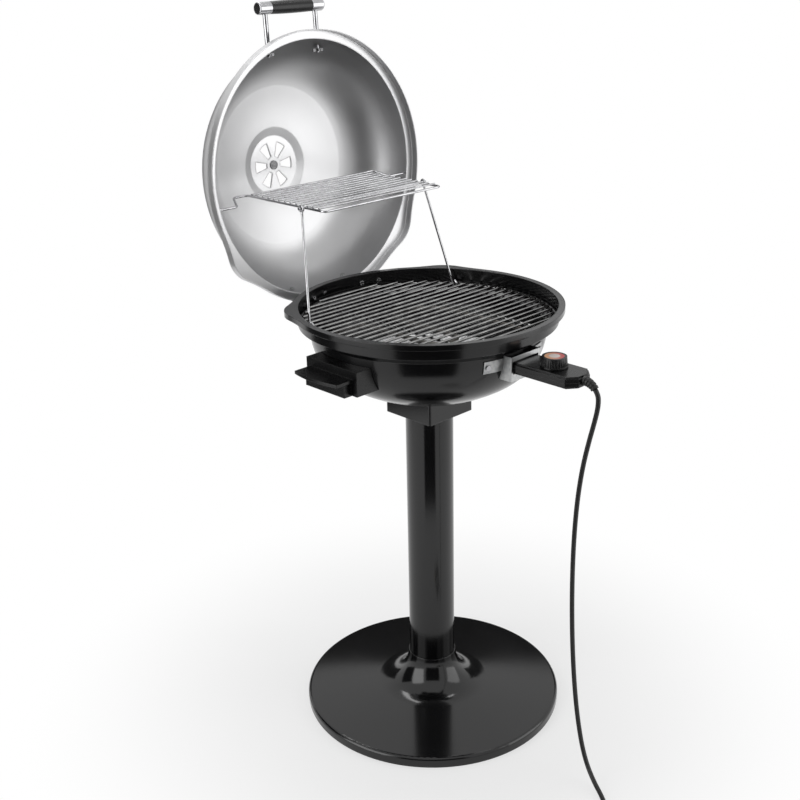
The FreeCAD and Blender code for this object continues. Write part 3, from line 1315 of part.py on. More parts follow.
# Warming rack: a bent frame hung in the lid's side holes, with bars across it and a pivot bar for the legs
foot_y = S.grate_pitch * S.foot_wire
pivot_y = foot_y + S.crank_y
rack_z = bar_z + S.crank_z
hole_y = S.hinge_y + S.crank_y
hole_z = S.hinge_z + S.crank_z
front_y = pivot_y - S.rack_front
back_y = hole_y + S.rack_tail
half_frame = [
    (S.arm_end, hole_y, hole_z),
    (S.rack_half_width + S.arm_out, hole_y, hole_z),
    (S.rack_half_width + S.arm_jog, back_y, rack_z),
    (S.rack_half_width, back_y, rack_z),
    (S.rack_half_width, front_y, rack_z),
]
frame_points = half_frame + [(-x, y, z) for x, y, z in reversed(half_frame)]
frame_line = centre_line([at(*point) for point in frame_points], [S.rack_bend.value] * (len(frame_points) - 2))
rack_pieces = [formed("rack_frame", swept(frame_line, S.rack_wire.value))]
rack_pieces.append(rod("rack_back_bar", Spot(0, back_y - S.rack_bend, rack_z, (1, 0, 0)), S.rack_wire,
                       -S.rack_half_width, S.rack_half_width))
rack_pieces.append(rod("rack_pivot_bar", Spot(0, pivot_y, rack_z, (1, 0, 0)), S.rack_wire,
                       -S.pivot_end, S.pivot_end))
rack_bar_z = rack_z + S.rack_wire + S.rack_bar - S.weld_sink
rack_bar_count = int((back_y - front_y).value / S.rack_pitch.value)
for index in range(1, rack_bar_count):
    bar_spot = Spot(0, front_y + S.rack_pitch * index, rack_bar_z, (1, 0, 0))
    rack_pieces.append(rod("rack_bar", bar_spot, S.rack_bar, -S.rack_half_width, S.rack_half_width))
node("warming_rack", fuse("warming_rack", rack_pieces))

# Rack legs: a wire with an eye round the pivot bar and a hook over a grate bar
eye_radius = S.rack_wire + S.eye_gap + S.leg_wire
hook_radius = S.grate_wire + S.eye_gap + S.leg_wire
for side, word in ((-1, "left"), (1, "right")):
    top = at(S.leg_top_x * side, pivot_y, rack_z)
    foot = at(S.leg_foot_x * side, foot_y, bar_z)
    fall = Vector(0, foot.y - top.y, foot.z - top.z).normalize()
    eye = Part.makeTorus(eye_radius.value, S.leg_wire.value, top, Vector(1, 0, 0))
    back = Vector(0, -fall.z, fall.y)
    bend = foot + back * hook_radius.value
    hook = Part.Face(Part.Wire([Part.Circle(bend, fall, S.leg_wire.value).toShape()]))
    hook = hook.revolve(foot, Vector(-1, 0, 0), 360 - S.hook_opening.value)
    shank = Part.LineSegment(top + fall * eye_radius.value, bend).toShape()
    shank = swept(Part.Wire([shank]), S.leg_wire.value)
    knee = Part.makeSphere(S.leg_wire.value, bend)
    node(f"rack_leg_{word}", formed(f"rack_leg_{word}", eye.fuse([shank, knee, hook])))

# Strain relief: a tapered sleeve with ring grooves that bends down from the thermostat's end
relief_start = at(0, -S.box_outer, S.relief_z)
relief_end = at(0, -S.box_outer - S.relief_reach, S.relief_z - S.relief_drop)
relief_turn = 2 * math.atan2(S.relief_drop.value, S.relief_reach.value)
relief_bend = (relief_end - relief_start).Length / (2 * math.sin(relief_turn / 2))
relief_out = Vector(0, -math.cos(relief_turn), -math.sin(relief_turn))
relief_middle = relief_start + Vector(0, -math.sin(relief_turn / 2), math.cos(relief_turn / 2) - 1) * relief_bend
relief_line = Part.Wire([Part.Arc(relief_start, relief_middle, relief_end).toShape()])
relief_ends = [
    Part.Wire([Part.Circle(relief_start, Vector(0, -1, 0), S.relief_radius.value).toShape()]),
    Part.Wire([Part.Circle(relief_end, relief_out, S.relief_tip.value).toShape()]),
]
relief_sleeve = relief_line.makePipeShell(relief_ends, True, False)
relief_arc = relief_line.Edges[0]
relief_rings = []
for index in range(1, int(S.relief_rings.value) + 1):
    share = index / (S.relief_rings.value + 1)
    place = relief_arc.getParameterByLength(relief_arc.Length * share)
    ring_radius = S.relief_radius + (S.relief_tip - S.relief_radius) * share
    relief_rings.append(Part.makeTorus(ring_radius.value, S.relief_groove.value, relief_arc.valueAt(place),
                                       relief_arc.tangentAt(place)))
node("strain_relief", formed("strain_relief", relief_sleeve.cut(relief_rings)))

# Cord: hangs from the relief to the floor and runs out to a tied coil that ends in a plug
coil_pitch = 2 * S.cord_radius.value + S.coil_gap.value
layer_turns = S.coil_turns.value / 2
coil_outer = S.coil_radius.value + coil_pitch * layer_turns / 2
coil_inner = coil_outer - coil_pitch * layer_turns
coil_centre = at(S.coil_x, S.coil_y, S.cord_radius + S.coil_lift)
first_angle = math.radians(S.coil_start_angle.value)
climb_turns = 0.25


def coil_point(turns):
    """A point of the coil: it spirals in, climbs a layer over half a turn, and spirals out again."""
    past = turns - layer_turns
    climb = min(max(past / climb_turns, -1), 1)
    step = abs(past) if abs(climb) == 1 else (past ** 2 / climb_turns + climb_turns) / 2
    radius = coil_inner + coil_pitch * step
    angle = first_angle - 2 * math.pi * turns
    rise = coil_pitch * (1 + math.sin(math.pi / 2 * climb)) / 2
    return coil_centre + Vector(radius * math.cos(angle), radius * math.sin(angle), rise)


def coil_way(turns):
    """The direction of the coil at a point."""
    small = 1e-4
    return (coil_point(turns + small) - coil_point(turns - small)).normalize()


def biarc(start, start_way, end, end_way):
    """Two tangent arcs from one point and direction to another."""
    gap = end - start
    ways = start_way + end_way
    square = 2 * (1 - start_way.dot(end_way))
    across = gap.dot(ways)
    if square < 1e-9:
        reach = gap.dot(gap) / (4 * gap.dot(end_way))
    else:
        reach = (-across + math.sqrt(across ** 2 + square * gap.dot(gap))) / square
    joint = (start + start_way * reach + end - end_way * reach) / 2
    return [arc_from(start, start_way, joint), arc_from(end, -end_way, joint)]


def arc_from(start, way, end):
    """The arc that leaves a point in a direction and ends at another point."""
    chord = end - start
    side = chord - way * chord.dot(way)
    if side.Length < 1e-7:
        return Part.LineSegment(start, end).toShape()
    side.normalize()
    lean = way.getAngle(chord)
    bulge = side * math.cos(lean) - way * math.sin(lean)
    middle = start + chord / 2 - bulge * chord.Length / 2 * math.tan(lean / 2)
    return Part.Arc(start, middle, end).toShape()


coil_start, coil_heading = coil_point(0), coil_way(0)
coil_heading = Vector(coil_heading.x, coil_heading.y, 0).normalize()
fall_share = relief_end.z / S.cord_fall.value
cord_floor = (S.cord_radius + S.floor_gap).value


def hung(sideways, outwards, height):
    """A point of the cord's route: outwards is from the relief's end, and height is in the drawn fall."""
    return Vector(sideways, relief_end.y - outwards, max(height * fall_share, cord_floor))


drop_route = [
    relief_end,
    relief_end + relief_out * S.cord_lead.value,
    hung(0, 7.1, 656.5),
    hung(0, 5.7, 641),
    hung(0, 0.7, 619),
    hung(0, -8, 585),
    hung(0, -17.5, 540),
    hung(0, -25, 480),
    hung(0, -28.5, 402),
    hung(0, -27.5, 310),
    hung(0, -22, 215),
    hung(0, -12.5, 130),
    hung(-2, 1.5, 66),
    hung(-7, 18.5, 30),
    hung(-16, 41.5, 10.5),
    hung(-29, 66.5, 4.6),
    hung(-44, 85.5, 4.4),
    hung(-57, 95.5, 5),
    coil_start - coil_heading * S.coil_lead.value,
    coil_start,
]
arc_share = 0.45


def route_radii(points):
    """The largest arc that each corner of a cord's route has room for."""
    radii = []
    for before, corner, after in zip(points, points[1:], points[2:]):
        turn = (corner - before).getAngle(after - corner)
        shorter = min((corner - before).Length, (after - corner).Length)
        radii.append(arc_share * shorter / math.tan(turn / 2))
    return radii


drop_radii = route_radii(drop_route)
print("cord bends:", [round(radius, 1) for radius in drop_radii])
drop_line = centre_line(drop_route, drop_radii)
node("cord_drop", formed("cord_drop", swept(drop_line, S.cord_radius.value)))

quarters = int(round(S.coil_turns.value * 4))
stations = [(coil_point(index / 4), coil_way(index / 4)) for index in range(quarters + 1)]
stations[0] = (coil_start, coil_heading)
coil_end = stations[-1][0]
tail_way = Vector(stations[-1][1].x, stations[-1][1].y, 0).normalize()
stations[-1] = (coil_end, tail_way)
plug_back = coil_end + tail_way * S.tail_length.value
plug_back.z = S.plug_height.value / 2 + S.floor_gap.value
tail_end = plug_back - tail_way * 2 * S.cord_radius.value
stations.append((tail_end, tail_way))
coil_edges = []
for (start, start_way), (end, end_way) in zip(stations, stations[1:]):
    coil_edges += biarc(start, start_way, end, end_way)
coil_edges.append(Part.LineSegment(tail_end, plug_back).toShape())
coil_line = Part.Wire(Part.__sortEdges__(coil_edges))
node("cord_coil", formed("cord_coil", swept(coil_line, S.cord_radius.value)))
turn_samples = 48
coil_samples = [coil_point(index / turn_samples) for index in range(int(S.coil_turns.value * turn_samples) + 1)]
nearest = min((first - second).Length for index, first in enumerate(coil_samples)
              for second in coil_samples[index + turn_samples // 2:])
print(f"coil gap to itself: {nearest - 2 * S.cord_radius.value:.2f} mm")
print(f"cord length: {drop_line.Length:.0f} + {coil_line.Length:.0f} mm")

# Cord tie: a band round the coil where its turns lie two by two
tie_turn = coil_point(S.tie_place.value)
tie_radius = math.hypot(tie_turn.x - coil_centre.x, tie_turn.y - coil_centre.y) - coil_pitch / 2
bundle = coil_pitch + 2 * S.cord_radius.value
tie_inner = bundle + 2 * S.tie_gap.value
tie_outer = tie_inner + 2 * S.tie_sheet.value
band = Part.makeBox(S.tie_width.value, tie_outer, tie_outer,
                    Vector(-S.tie_width.value / 2, -tie_outer / 2, -tie_outer / 2))
band = band.cut(Part.makeBox(2 * S.tie_width.value, tie_inner, tie_inner,
                             Vector(-S.tie_width.value, -tie_inner / 2, -tie_inner / 2)))
tie = node("cord_tie", formed("cord_tie", band))
tie.Placement = FreeCAD.Placement(coil_centre + Vector(0, -tie_radius, coil_pitch / 2), FreeCAD.Rotation())

# Plug: a moulded body that widens from the cord to its face, with two blades and a round earth pin
plug_turn = FreeCAD.Rotation(Vector(0, 0, 1), math.degrees(math.atan2(tail_way.y, tail_way.x)))
plug = new("PartDesign::Body", "plug_body")


def rounded(sketch, width, height, corner):
    """A rounded rectangle about the sketch's origin."""
    across, up = width / 2, height / 2
    return trace(sketch, [
        (-across + corner, -up, corner, 1),
        (across - corner, -up),
        (across, -up + corner, corner, 1),
        (across, up - corner),
        (across - corner, up, corner, 1),
        (-across + corner, up),
        (-across, up - corner, corner, 1),
        (-across, -up + corner),
    ])


back_face = rounded(sketch_on(plug, "YZ_Plane"), S.plug_back_width, S.plug_back_height, S.plug_corner)
front_face = rounded(sketch_on(plug, "YZ_Plane", S.plug_length), S.plug_width, S.plug_height, S.plug_corner)
loft = feature(plug, "AdditiveLoft", back_face)
loft.Sections = [front_face]
loft.Ruled = True
node("plug_body", locate(plug, plug_back.x, plug_back.y, plug_back.z, plug_turn))
blades = []
for side in (-1, 1):
    blade = new("Part::Box", "plug_blade")
    bind(blade, "Length", S.blade_length)
    bind(blade, "Width", S.blade_sheet)
    bind(blade, "Height", S.blade_width)
    locate(blade, S.plug_length, S.blade_spacing / 2 * side - S.blade_sheet / 2, 0)
    blades.append(blade)
blades.append(rod("plug_earth", Spot(S.plug_length, 0, -S.ground_drop, (1, 0, 0)), S.ground_radius,
                  0, S.blade_length))
node("plug_blades", locate(group("plug_blades", blades), plug_back.x, plug_back.y, plug_back.z, plug_turn))

doc.recompute()
for thing in doc.Objects:
    if "Invalid" in thing.State or "Error" in thing.State:
        raise RuntimeError(f"{thing.Label} failed: {thing.State}")
os.makedirs("parts", exist_ok=True)
for thing in nodes:
    if thing.Shape.isNull() or not thing.Shape.isValid():
        raise RuntimeError(f"{thing.Label} has no valid shape")
    thing.Shape.exportStep(f"parts/{thing.Label}.step")
    print(f"{thing.Label}: {thing.Shape.Volume / 1000:.1f} cm3, {len(thing.Shape.Solids)} solids")
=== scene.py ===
# %% [markdown]
# This lesson dresses a floor-standing electric kettle grill whose solids are already made. The solids
# arrive as a fixed frame: each one is in place, in metres, and rides on the body that moves it. Nothing
# that we add may make the grill larger than it really is.

# %% Load the solids
import bpy
import math
from mathutils import Matrix, Vector


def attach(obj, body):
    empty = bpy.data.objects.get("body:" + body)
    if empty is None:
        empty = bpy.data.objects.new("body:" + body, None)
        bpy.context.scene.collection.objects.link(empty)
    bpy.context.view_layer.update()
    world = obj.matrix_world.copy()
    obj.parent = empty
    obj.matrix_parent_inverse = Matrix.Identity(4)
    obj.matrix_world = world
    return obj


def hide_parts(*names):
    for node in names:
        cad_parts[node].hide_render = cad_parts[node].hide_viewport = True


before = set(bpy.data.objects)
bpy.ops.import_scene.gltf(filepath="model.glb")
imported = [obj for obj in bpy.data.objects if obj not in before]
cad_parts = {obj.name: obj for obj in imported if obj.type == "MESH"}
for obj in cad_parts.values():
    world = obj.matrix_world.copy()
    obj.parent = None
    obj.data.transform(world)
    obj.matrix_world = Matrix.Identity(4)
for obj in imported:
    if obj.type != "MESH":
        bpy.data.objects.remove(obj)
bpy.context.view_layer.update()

# %% [markdown]
# The picture was taken from the grill's front left, a little above the rim, with a normal lens. The camera
# could be set by eye, but the rim, the base and the dial were measured in the picture, and a camera fitted
# to them puts every edge where it belongs. The slight roll is part of that fit.

# %% Camera
PICTURE_PIXELS = 800
FOCAL_PIXELS = 1191.28
SENSOR_MM = 36.0
CAMERA_PLACE = Vector((-1.3221, -1.2927, 1.2902))
CAMERA_ROLL = -0.0217
ahead = Vector((0.6488, 0.6686, -0.3633)).normalized()
level = ahead.cross(Vector((0, 0, 1))).normalized()
upright = level.cross(ahead)
rightward = level * math.cos(CAMERA_ROLL) + upright * math.sin(CAMERA_ROLL)
upward = rightward.cross(ahead)
lens = bpy.data.cameras.new("camera")
lens.sensor_width = SENSOR_MM
lens.lens = FOCAL_PIXELS * SENSOR_MM / PICTURE_PIXELS
camera = bpy.data.objects.new("camera", lens)
turned = Matrix((rightward, upward, -ahead)).transposed().to_4x4()
camera.matrix_world = Matrix.Translation(CAMERA_PLACE) @ turned
bpy.context.collection.objects.link(camera)
bpy.context.scene.camera = camera
print("lens:", round(lens.lens, 2), "mm")

# %% [markdown]
# The spare length of the mains lead lies on the floor in a tied coil. A coil could be drawn by hand, but a
# formula keeps its turns one cable apart. It winds inwards on the floor, climbs one layer over half a turn,
# and winds outwards again on top.

# %% The coil's turns
COIL_CENTRE = Vector((-0.128, -0.432, 0.0063))
COIL_MIDDLE = 0.044
COIL_PITCH = 0.0087
COIL_TURNS = 3.25
COIL_INNER = COIL_MIDDLE - COIL_PITCH * COIL_TURNS / 4
COIL_START = math.radians(-45)
CLIMB_TURNS = 0.25
WAY_STEP = 0.001


def coil_point(turns):
    """A point of the coil: it spirals in, climbs a layer over half a turn, and spirals out again."""
    past = turns - COIL_TURNS / 2
    climb = min(max(past / CLIMB_TURNS, -1), 1)
    step = abs(past) if abs(climb) == 1 else (past ** 2 / CLIMB_TURNS + CLIMB_TURNS) / 2
    radius = COIL_INNER + COIL_PITCH * step
    angle = COIL_START - 2 * math.pi * turns
    rise = COIL_PITCH * (1 + math.sin(math.pi / 2 * climb)) / 2
    return COIL_CENTRE + Vector((radius * math.cos(angle), radius * math.sin(angle), rise))


def coil_way(turns):
    """The level direction in which the coil runs."""
    way = coil_point(turns + WAY_STEP) - coil_point(turns - WAY_STEP)
    way.z = 0
    return way.normalized()


print("coil:", COIL_TURNS, "turns,", 2 * COIL_MIDDLE, "m across the middle of the turns")

# %% [markdown]
# The lead leaves the strain relief, bows out, hangs to the floor and runs off to the coil. A simulated cable
# would hang much the same, but the bow is plain to see, so its points are listed one by one. These points,
# the coil's turns and the plug's short tail are then one smooth spline, which gives the lead its real length.

# %% The lead's line
POINTS_PER_TURN = 16
COIL_LEAD = 0.022
TAIL_LENGTH = 0.042
TAIL_SHARES = (0.4, 0.2, 0)
PLUG_HEIGHT = 0.0112
lead_exit = Vector((0, -0.3355, 0.673))
lead_points = [
    lead_exit, (0, -0.34069, 0.66691), (0, -0.3426, 0.6565), (0, -0.3412, 0.641), (0, -0.3362, 0.619),
    (0, -0.3275, 0.585), (0, -0.318, 0.54), (0, -0.3105, 0.48), (0, -0.307, 0.402), (0, -0.308, 0.31),
    (0, -0.3135, 0.215), (0, -0.323, 0.13), (-0.002, -0.337, 0.066), (-0.007, -0.354, 0.03),
    (-0.016, -0.377, 0.0105), (-0.029, -0.402, 0.0046), (-0.044, -0.421, 0.0044), (-0.057, -0.431, 0.005),
    coil_point(0) - coil_way(0) * COIL_LEAD,
]
coil_steps = int(COIL_TURNS * POINTS_PER_TURN)
lead_points += [coil_point(index / POINTS_PER_TURN) for index in range(coil_steps + 1)]
tail_way = coil_way(COIL_TURNS)
plug_back = coil_point(COIL_TURNS) + tail_way * TAIL_LENGTH
plug_back.z = PLUG_HEIGHT
lead_points += [plug_back - tail_way * TAIL_LENGTH * share for share in TAIL_SHARES]

line = bpy.data.curves.new("lead_line", "CURVE")
line.dimensions = "3D"
line.resolution_u = 8
spline = line.splines.new("NURBS")
spline.points.add(len(lead_points) - 1)
for knot, point in zip(spline.points, lead_points):
    knot.co = (*point, 1)
spline.order_u = 3
spline.use_endpoint_u = True
guide = bpy.data.objects.new("lead_guide", line)
bpy.context.collection.objects.link(guide)
bpy.context.view_layer.update()
traced = bpy.data.meshes.new_from_object(guide.evaluated_get(bpy.context.evaluated_depsgraph_get()))
lead_path = [vertex.co.copy() for vertex in traced.vertices]
bpy.data.objects.remove(guide)
bpy.data.meshes.remove(traced)

# %% [markdown]
# The lead is a flattened rubber cable with ridges along it, not a plain round hose. A section of that shape
# is carried along the line. Each station takes its sideways direction from the one before, so the ridges
# run straight along the cable and never twist.

# %% The lead's skin
LEAD_RADIUS = 0.004
LEAD_SIDES = 32
FLATTEN = 0.12
RIDGE = 0.025
RIDGE_COUNT = 8


def lead_section(angle):
    """The section's radius: flat above and below, with fine ridges."""
    flat = FLATTEN * math.sin(angle) ** 2
    ridge = RIDGE * (1 - math.cos(RIDGE_COUNT * angle)) / 2
    return LEAD_RADIUS * (1 - flat - ridge)


def lead_skin(name, path):
    """A closed skin with the lead's section along a path."""
    side = Vector((1, 0, 0))
    corners = []
    for index, point in enumerate(path):
        before = path[max(index - 1, 0)]
        after = path[min(index + 1, len(path) - 1)]
        way = (after - before).normalized()
        side = (side - way * side.dot(way)).normalized()
        lift = way.cross(side)
        for step in range(LEAD_SIDES):
            angle = 2 * math.pi * step / LEAD_SIDES
            corners.append(point + (side * math.cos(angle) + lift * math.sin(angle)) * lead_section(angle))
    faces = [tuple(reversed(range(LEAD_SIDES)))]
    for row in range(0, len(corners) - LEAD_SIDES, LEAD_SIDES):
        for step in range(LEAD_SIDES):
            beside = (step + 1) % LEAD_SIDES
            faces.append((row + step, row + beside, row + LEAD_SIDES + beside, row + LEAD_SIDES + step))
    faces.append(tuple(range(len(corners) - LEAD_SIDES, len(corners))))
    skin = bpy.data.meshes.new(name)
    skin.from_pydata(corners, [], faces)
    skin.shade_smooth()
    made = bpy.data.objects.new(name, skin)
    bpy.context.collection.objects.link(made)
    return made


lead = lead_skin("mains_lead", lead_path)
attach(lead, "root")
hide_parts("cord_drop", "cord_coil")
print("lead skin:", len(lead.data.polygons), "faces")

# %% [markdown]
# Shader graphs are easier to read as sums than as lists of links. This small class wraps one output of a
# node. Its operators add Math nodes, and its node method adds any other node, with the settings first and
# the sockets after them.

# %% A socket that can be used in sums
class Wire:
    """One output of a shader node, or the start of an empty graph."""

    def __init__(self, tree, socket=None):
        self.tree = tree
        self.socket = socket

    def node(self, kind, settings=(), sockets=(), output=0):
        made = self.tree.nodes.new("ShaderNode" + kind)
        for name, value in dict(settings).items():
            if name == "stops":
                for extra in value[2:]:
                    made.color_ramp.elements.new(extra[0])
                for stop, (place, colour) in zip(made.color_ramp.elements, value):
                    stop.position = place
                    stop.color = (*colour, 1)
            else:
                setattr(made, name, value)
        for name, value in dict(sockets).items():
            if isinstance(value, Wire):
                self.tree.links.new(value.socket, made.inputs[name])
            else:
                made.inputs[name].default_value = value
        return Wire(self.tree, made.outputs[output])

    def maths(self, operation, first, second):
        return self.node("Math", {"operation": operation}, {0: first, 1: second})

    def __add__(self, other):
        return self.maths("ADD", self, other)

    def __radd__(self, other):
        return self.maths("ADD", other, self)

    def __sub__(self, other):
        return self.maths("SUBTRACT", self, other)

    def __rsub__(self, other):
        return self.maths("SUBTRACT", other, self)

    def __mul__(self, other):
        return self.maths("MULTIPLY", self, other)

    def __rmul__(self, other):
        return self.maths("MULTIPLY", other, self)

    def __gt__(self, other):
        return self.maths("GREATER_THAN", self, other)

    def __lt__(self, other):
        return self.maths("LESS_THAN", self, other)


# %% [markdown]
# Every finish needs the same few steps: start a material, mottle it, pick a colour by the mottling, and give
# it a fine relief. Each step is a short function, so that a finish reads as a list of what the eye sees.

# %% Steps that the finishes share
SHADE_DARK_AT = 0.25
SHADE_LIGHT_AT = 0.75


def start(name):
    """A new material, the start of its graph, and its shader."""
    material = bpy.data.materials.new(name)
    material.use_nodes = True
    tree = material.node_tree
    return material, Wire(tree), tree.nodes["Principled BSDF"]


def fill(shader, **values):
    """Set the shader's sockets: a wire is linked, and anything else is the socket's own value."""
    for name, value in values.items():
        socket = shader.inputs[name.replace("_", " ")]
        if isinstance(value, Wire):
            value.tree.links.new(value.socket, socket)
        else:
            socket.default_value = value


def grain(graph, scale, detail=3):
    """Soft random mottling, from 0 to 1, fixed to the piece."""
    place = graph.node("TexCoord", output="Object")
    return graph.node("TexNoise", {}, {"Vector": place, "Scale": scale, "Detail": detail})


def shade(wire, dark, light):
    """A colour between two, by a value from 0 to 1."""
    stops = [(SHADE_DARK_AT, dark), (SHADE_LIGHT_AT, light)]
    return wire.node("ValToRGB", {"stops": stops}, {"Fac": wire})


def relief(wire, depth, strength, edge):
    """A fine surface relief, on edges that are slightly rounded, as pressed and moulded edges are."""
    rounded = wire.node("Bevel", {"samples": 4}, {"Radius": edge})
    sockets = {"Strength": strength, "Distance": depth, "Height": wire, "Normal": rounded}
    return wire.node("Bump", {}, sockets)


def dress(finish, *names):
    """Give a finish to some of the grill's pieces."""
    for name in names:
        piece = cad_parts[name]
        if not piece.material_slots:
            piece.data.materials.append(finish)
        for place in piece.material_slots:
            place.material = finish
    print(finish.name, "on", len(names), "pieces")


# %% [markdown]
# The bowl, the base and the pole are pressed steel with a black coat. The bowl's coat is porcelain enamel,
# which is fired glass over a slightly uneven black. The pole and the base have a gloss paint, sprayed on and
# a little shinier. Both show a faint orange-peel relief in the light.

# %% Black coats
DEEP_BLACK = (0.0015, 0.0015, 0.0017)
SOFT_BLACK = (0.004, 0.004, 0.0045)
COAT_SPREAD = 0.06


def black_coat(name, roughness, gloss):
    material, graph, shader = start(name)
    cloud = grain(graph, scale=9)
    peel = grain(graph, scale=380, detail=1)
    fill(shader, Base_Color=shade(cloud, DEEP_BLACK, SOFT_BLACK), Roughness=roughness + cloud * COAT_SPREAD,
         Specular_IOR_Level=gloss, Normal=relief(peel, depth=0.0003, strength=0.04, edge=0.002))
    return material


enamel = black_coat("black enamel", roughness=0.15, gloss=0.42)
sprayed = black_coat("sprayed black", roughness=0.1, gloss=0.5)
dress(enamel, "bowl")
dress(sprayed, "base_dish", "pole", "pole_cradle")

# %% [markdown]
# The lid is spun from an aluminium disc over a form, so the tool leaves fine rings round the lid's axis. The
# drip pan is made in the same way. The rings come from the distance to that axis: they vary the roughness
# and a very small relief, which is what stretches the light into soft fans.

# %% Spun aluminium
LID_CENTRE = (0, 0.2453, 0.9228)
LID_AXIS = (0, 0.99863, -0.05234)
PAN_CENTRE = (0, 0, 0)
PAN_AXIS = (0, 0, 1)
RINGS_PER_METRE = 900
SPUN_DARK = (0.5, 0.5, 0.505)
SPUN_LIGHT = (0.58, 0.58, 0.585)
SPUN_ROUGHNESS = 0.28
RING_SPREAD = 0.12
CLOUD_SPREAD = 0.06


def spun_metal(name, centre, axis):
    material, graph, shader = start(name)
    place = graph.node("TexCoord", output="Object")
    offset = graph.node("VectorMath", {"operation": "SUBTRACT"}, {0: place, 1: centre})
    along = graph.node("VectorMath", {"operation": "DOT_PRODUCT"}, {0: offset, 1: axis}, "Value")
    shadow = graph.node("VectorMath", {"operation": "SCALE"}, {0: axis, "Scale": along})
    spoke = graph.node("VectorMath", {"operation": "SUBTRACT"}, {0: offset, 1: shadow})
    radius = graph.node("VectorMath", {"operation": "LENGTH"}, {0: spoke}, "Value")
    rings = graph.node("TexNoise", {"noise_dimensions": "1D"},
                       {"W": radius * RINGS_PER_METRE, "Scale": 1, "Detail": 4})
    cloud = grain(graph, scale=6)
    fill(shader, Base_Color=shade(cloud, SPUN_DARK, SPUN_LIGHT), Metallic=1,
         Roughness=SPUN_ROUGHNESS + rings * RING_SPREAD + cloud * CLOUD_SPREAD,
         Normal=relief(rings, depth=0.00008, strength=0.12, edge=0.003))
    return material


lid_metal = spun_metal("spun aluminium lid", LID_CENTRE, LID_AXIS)
pan_metal = spun_metal("spun aluminium pan", PAN_CENTRE, PAN_AXIS)
dress(lid_metal, "lid_shell", "vent_damper")
dress(pan_metal, "drip_pan")

# %% [markdown]
# The rack, its legs, the metal of the lid's handle and the small rivets and screws round the bowl are
# chromed: bright and sharp, with a slight mottling from handling. The grate is chromed too, but its colour is
# made darker, a painted shade that stands in for the dark that its wires reflect. The guard, the other
# screws and bolts, the hinges and the brackets are zinc-plated, which is duller and has the fine spangle of
# the plating.

# %% Plated steel
def plated(name, dark, light, roughness, spread, scale):
    material, graph, shader = start(name)
    cloud = grain(graph, scale)
    fill(shader, Base_Color=shade(cloud, dark, light), Metallic=1, Roughness=roughness + cloud * spread,
         Normal=relief(cloud, depth=0.0001, strength=0.05, edge=0.0006))
    return material


chrome = plated("chromed wire", (0.34, 0.34, 0.35), (0.52, 0.52, 0.53),
                roughness=0.06, spread=0.1, scale=60)
# The grate's darker colour is painted shade: it stands in for the dark reflections round its wires.
grate_painted_shade_chrome = plated("grate chrome with painted shade", (0.14, 0.14, 0.14), (0.3, 0.3, 0.295),
                    roughness=0.08, spread=0.12, scale=60)
zinc = plated("zinc plate", (0.3, 0.31, 0.32), (0.46, 0.46, 0.45),
              roughness=0.24, spread=0.16, scale=240)
dress(chrome, "warming_rack", "rack_leg_left", "rack_leg_right", "handle_cap_left", "handle_cap_right",
      "handle_posts", "hinge_rivets", "guard_screws")
dress(grate_painted_shade_chrome, "cooking_grate")
dress(zinc, "through_bolt", "bolt_nut", "cradle_bolts", "cradle_nuts", "side_handle_screws", "hinge_pins",
      "lid_hinge_screws", "lid_hinge_nuts", "bowl_hinge_left", "bowl_hinge_right", "lid_hinge_left",
      "lid_hinge_right", "element_brackets", "terminal_plate", "probe_guard")

# %% [markdown]
# A few pieces are other metals. The vent's rivet and the wing nuts are dark steel, the weight in the base is
# iron, the plug's blades are brass, and heat has browned the sheaths of the element and the probe. They
# differ from plated steel only in colour, roughness and grain, so the same function makes them.

# %% Other metals
blued = plated("dark steel", (0.1, 0.1, 0.104), (0.2, 0.2, 0.2),
               roughness=0.2, spread=0.12, scale=200)
iron = plated("dark iron", (0.05, 0.05, 0.052), (0.12, 0.12, 0.12),
              roughness=0.5, spread=0.2, scale=120)
brass = plated("plug brass", (0.62, 0.46, 0.2), (0.78, 0.62, 0.32),
               roughness=0.2, spread=0.14, scale=200)
sheath = plated("element sheath", (0.07, 0.066, 0.06), (0.16, 0.15, 0.14),
                roughness=0.42, spread=0.2, scale=90)
dress(blued, "vent_rivet", "wing_nuts")
dress(iron, "base_weight")
dress(brass, "plug_blades")
dress(sheath, "heating_element", "probe_tube")

# %% [markdown]
# The handles, the thermostat and the dial are moulded in a black heat-proof plastic with a fine eroded
# grain. The lead, its tie and plug, the strain relief and the base's pad are rubber, which is duller and
# greyer.

# %% Plastic and rubber
PIT_SPREAD = 0.14


def moulded(name, dark, light, roughness, scale, depth):
    material, graph, shader = start(name)
    cloud = grain(graph, scale=14)
    pits = grain(graph, scale, detail=2)
    fill(shader, Base_Color=shade(cloud, dark, light), Roughness=roughness + pits * PIT_SPREAD,
         Specular_IOR_Level=0.36, Normal=relief(pits, depth, strength=0.12, edge=0.0015))
    return material


plastic = moulded("black plastic", (0.002, 0.002, 0.0022), (0.006, 0.006, 0.0063),
                  roughness=0.2, scale=900, depth=0.0002)
rubber = moulded("black rubber", (0.005, 0.005, 0.005), (0.012, 0.012, 0.0115),
                 roughness=0.36, scale=600, depth=0.0003)
dress(plastic, "side_handle_left", "side_handle_right", "thermostat_base", "thermostat_cover", "dial_knob",
      "handle_grip")
dress(rubber, "strain_relief", "cord_tie", "plug_body", "floor_pad")
lead.data.materials.append(rubber)

# %% [markdown]
# The dial's insert is a printed metal disc: a silver middle in a warm ring that goes from orange to red as
# the heat rises. The middle and the ring are told apart by the distance to the dial's axis, and the colour
# by the place across the dial. A Mix node has sockets for each kind of value: its two colours go in at 6 and
# 7, and the mixed colour comes out at 2.

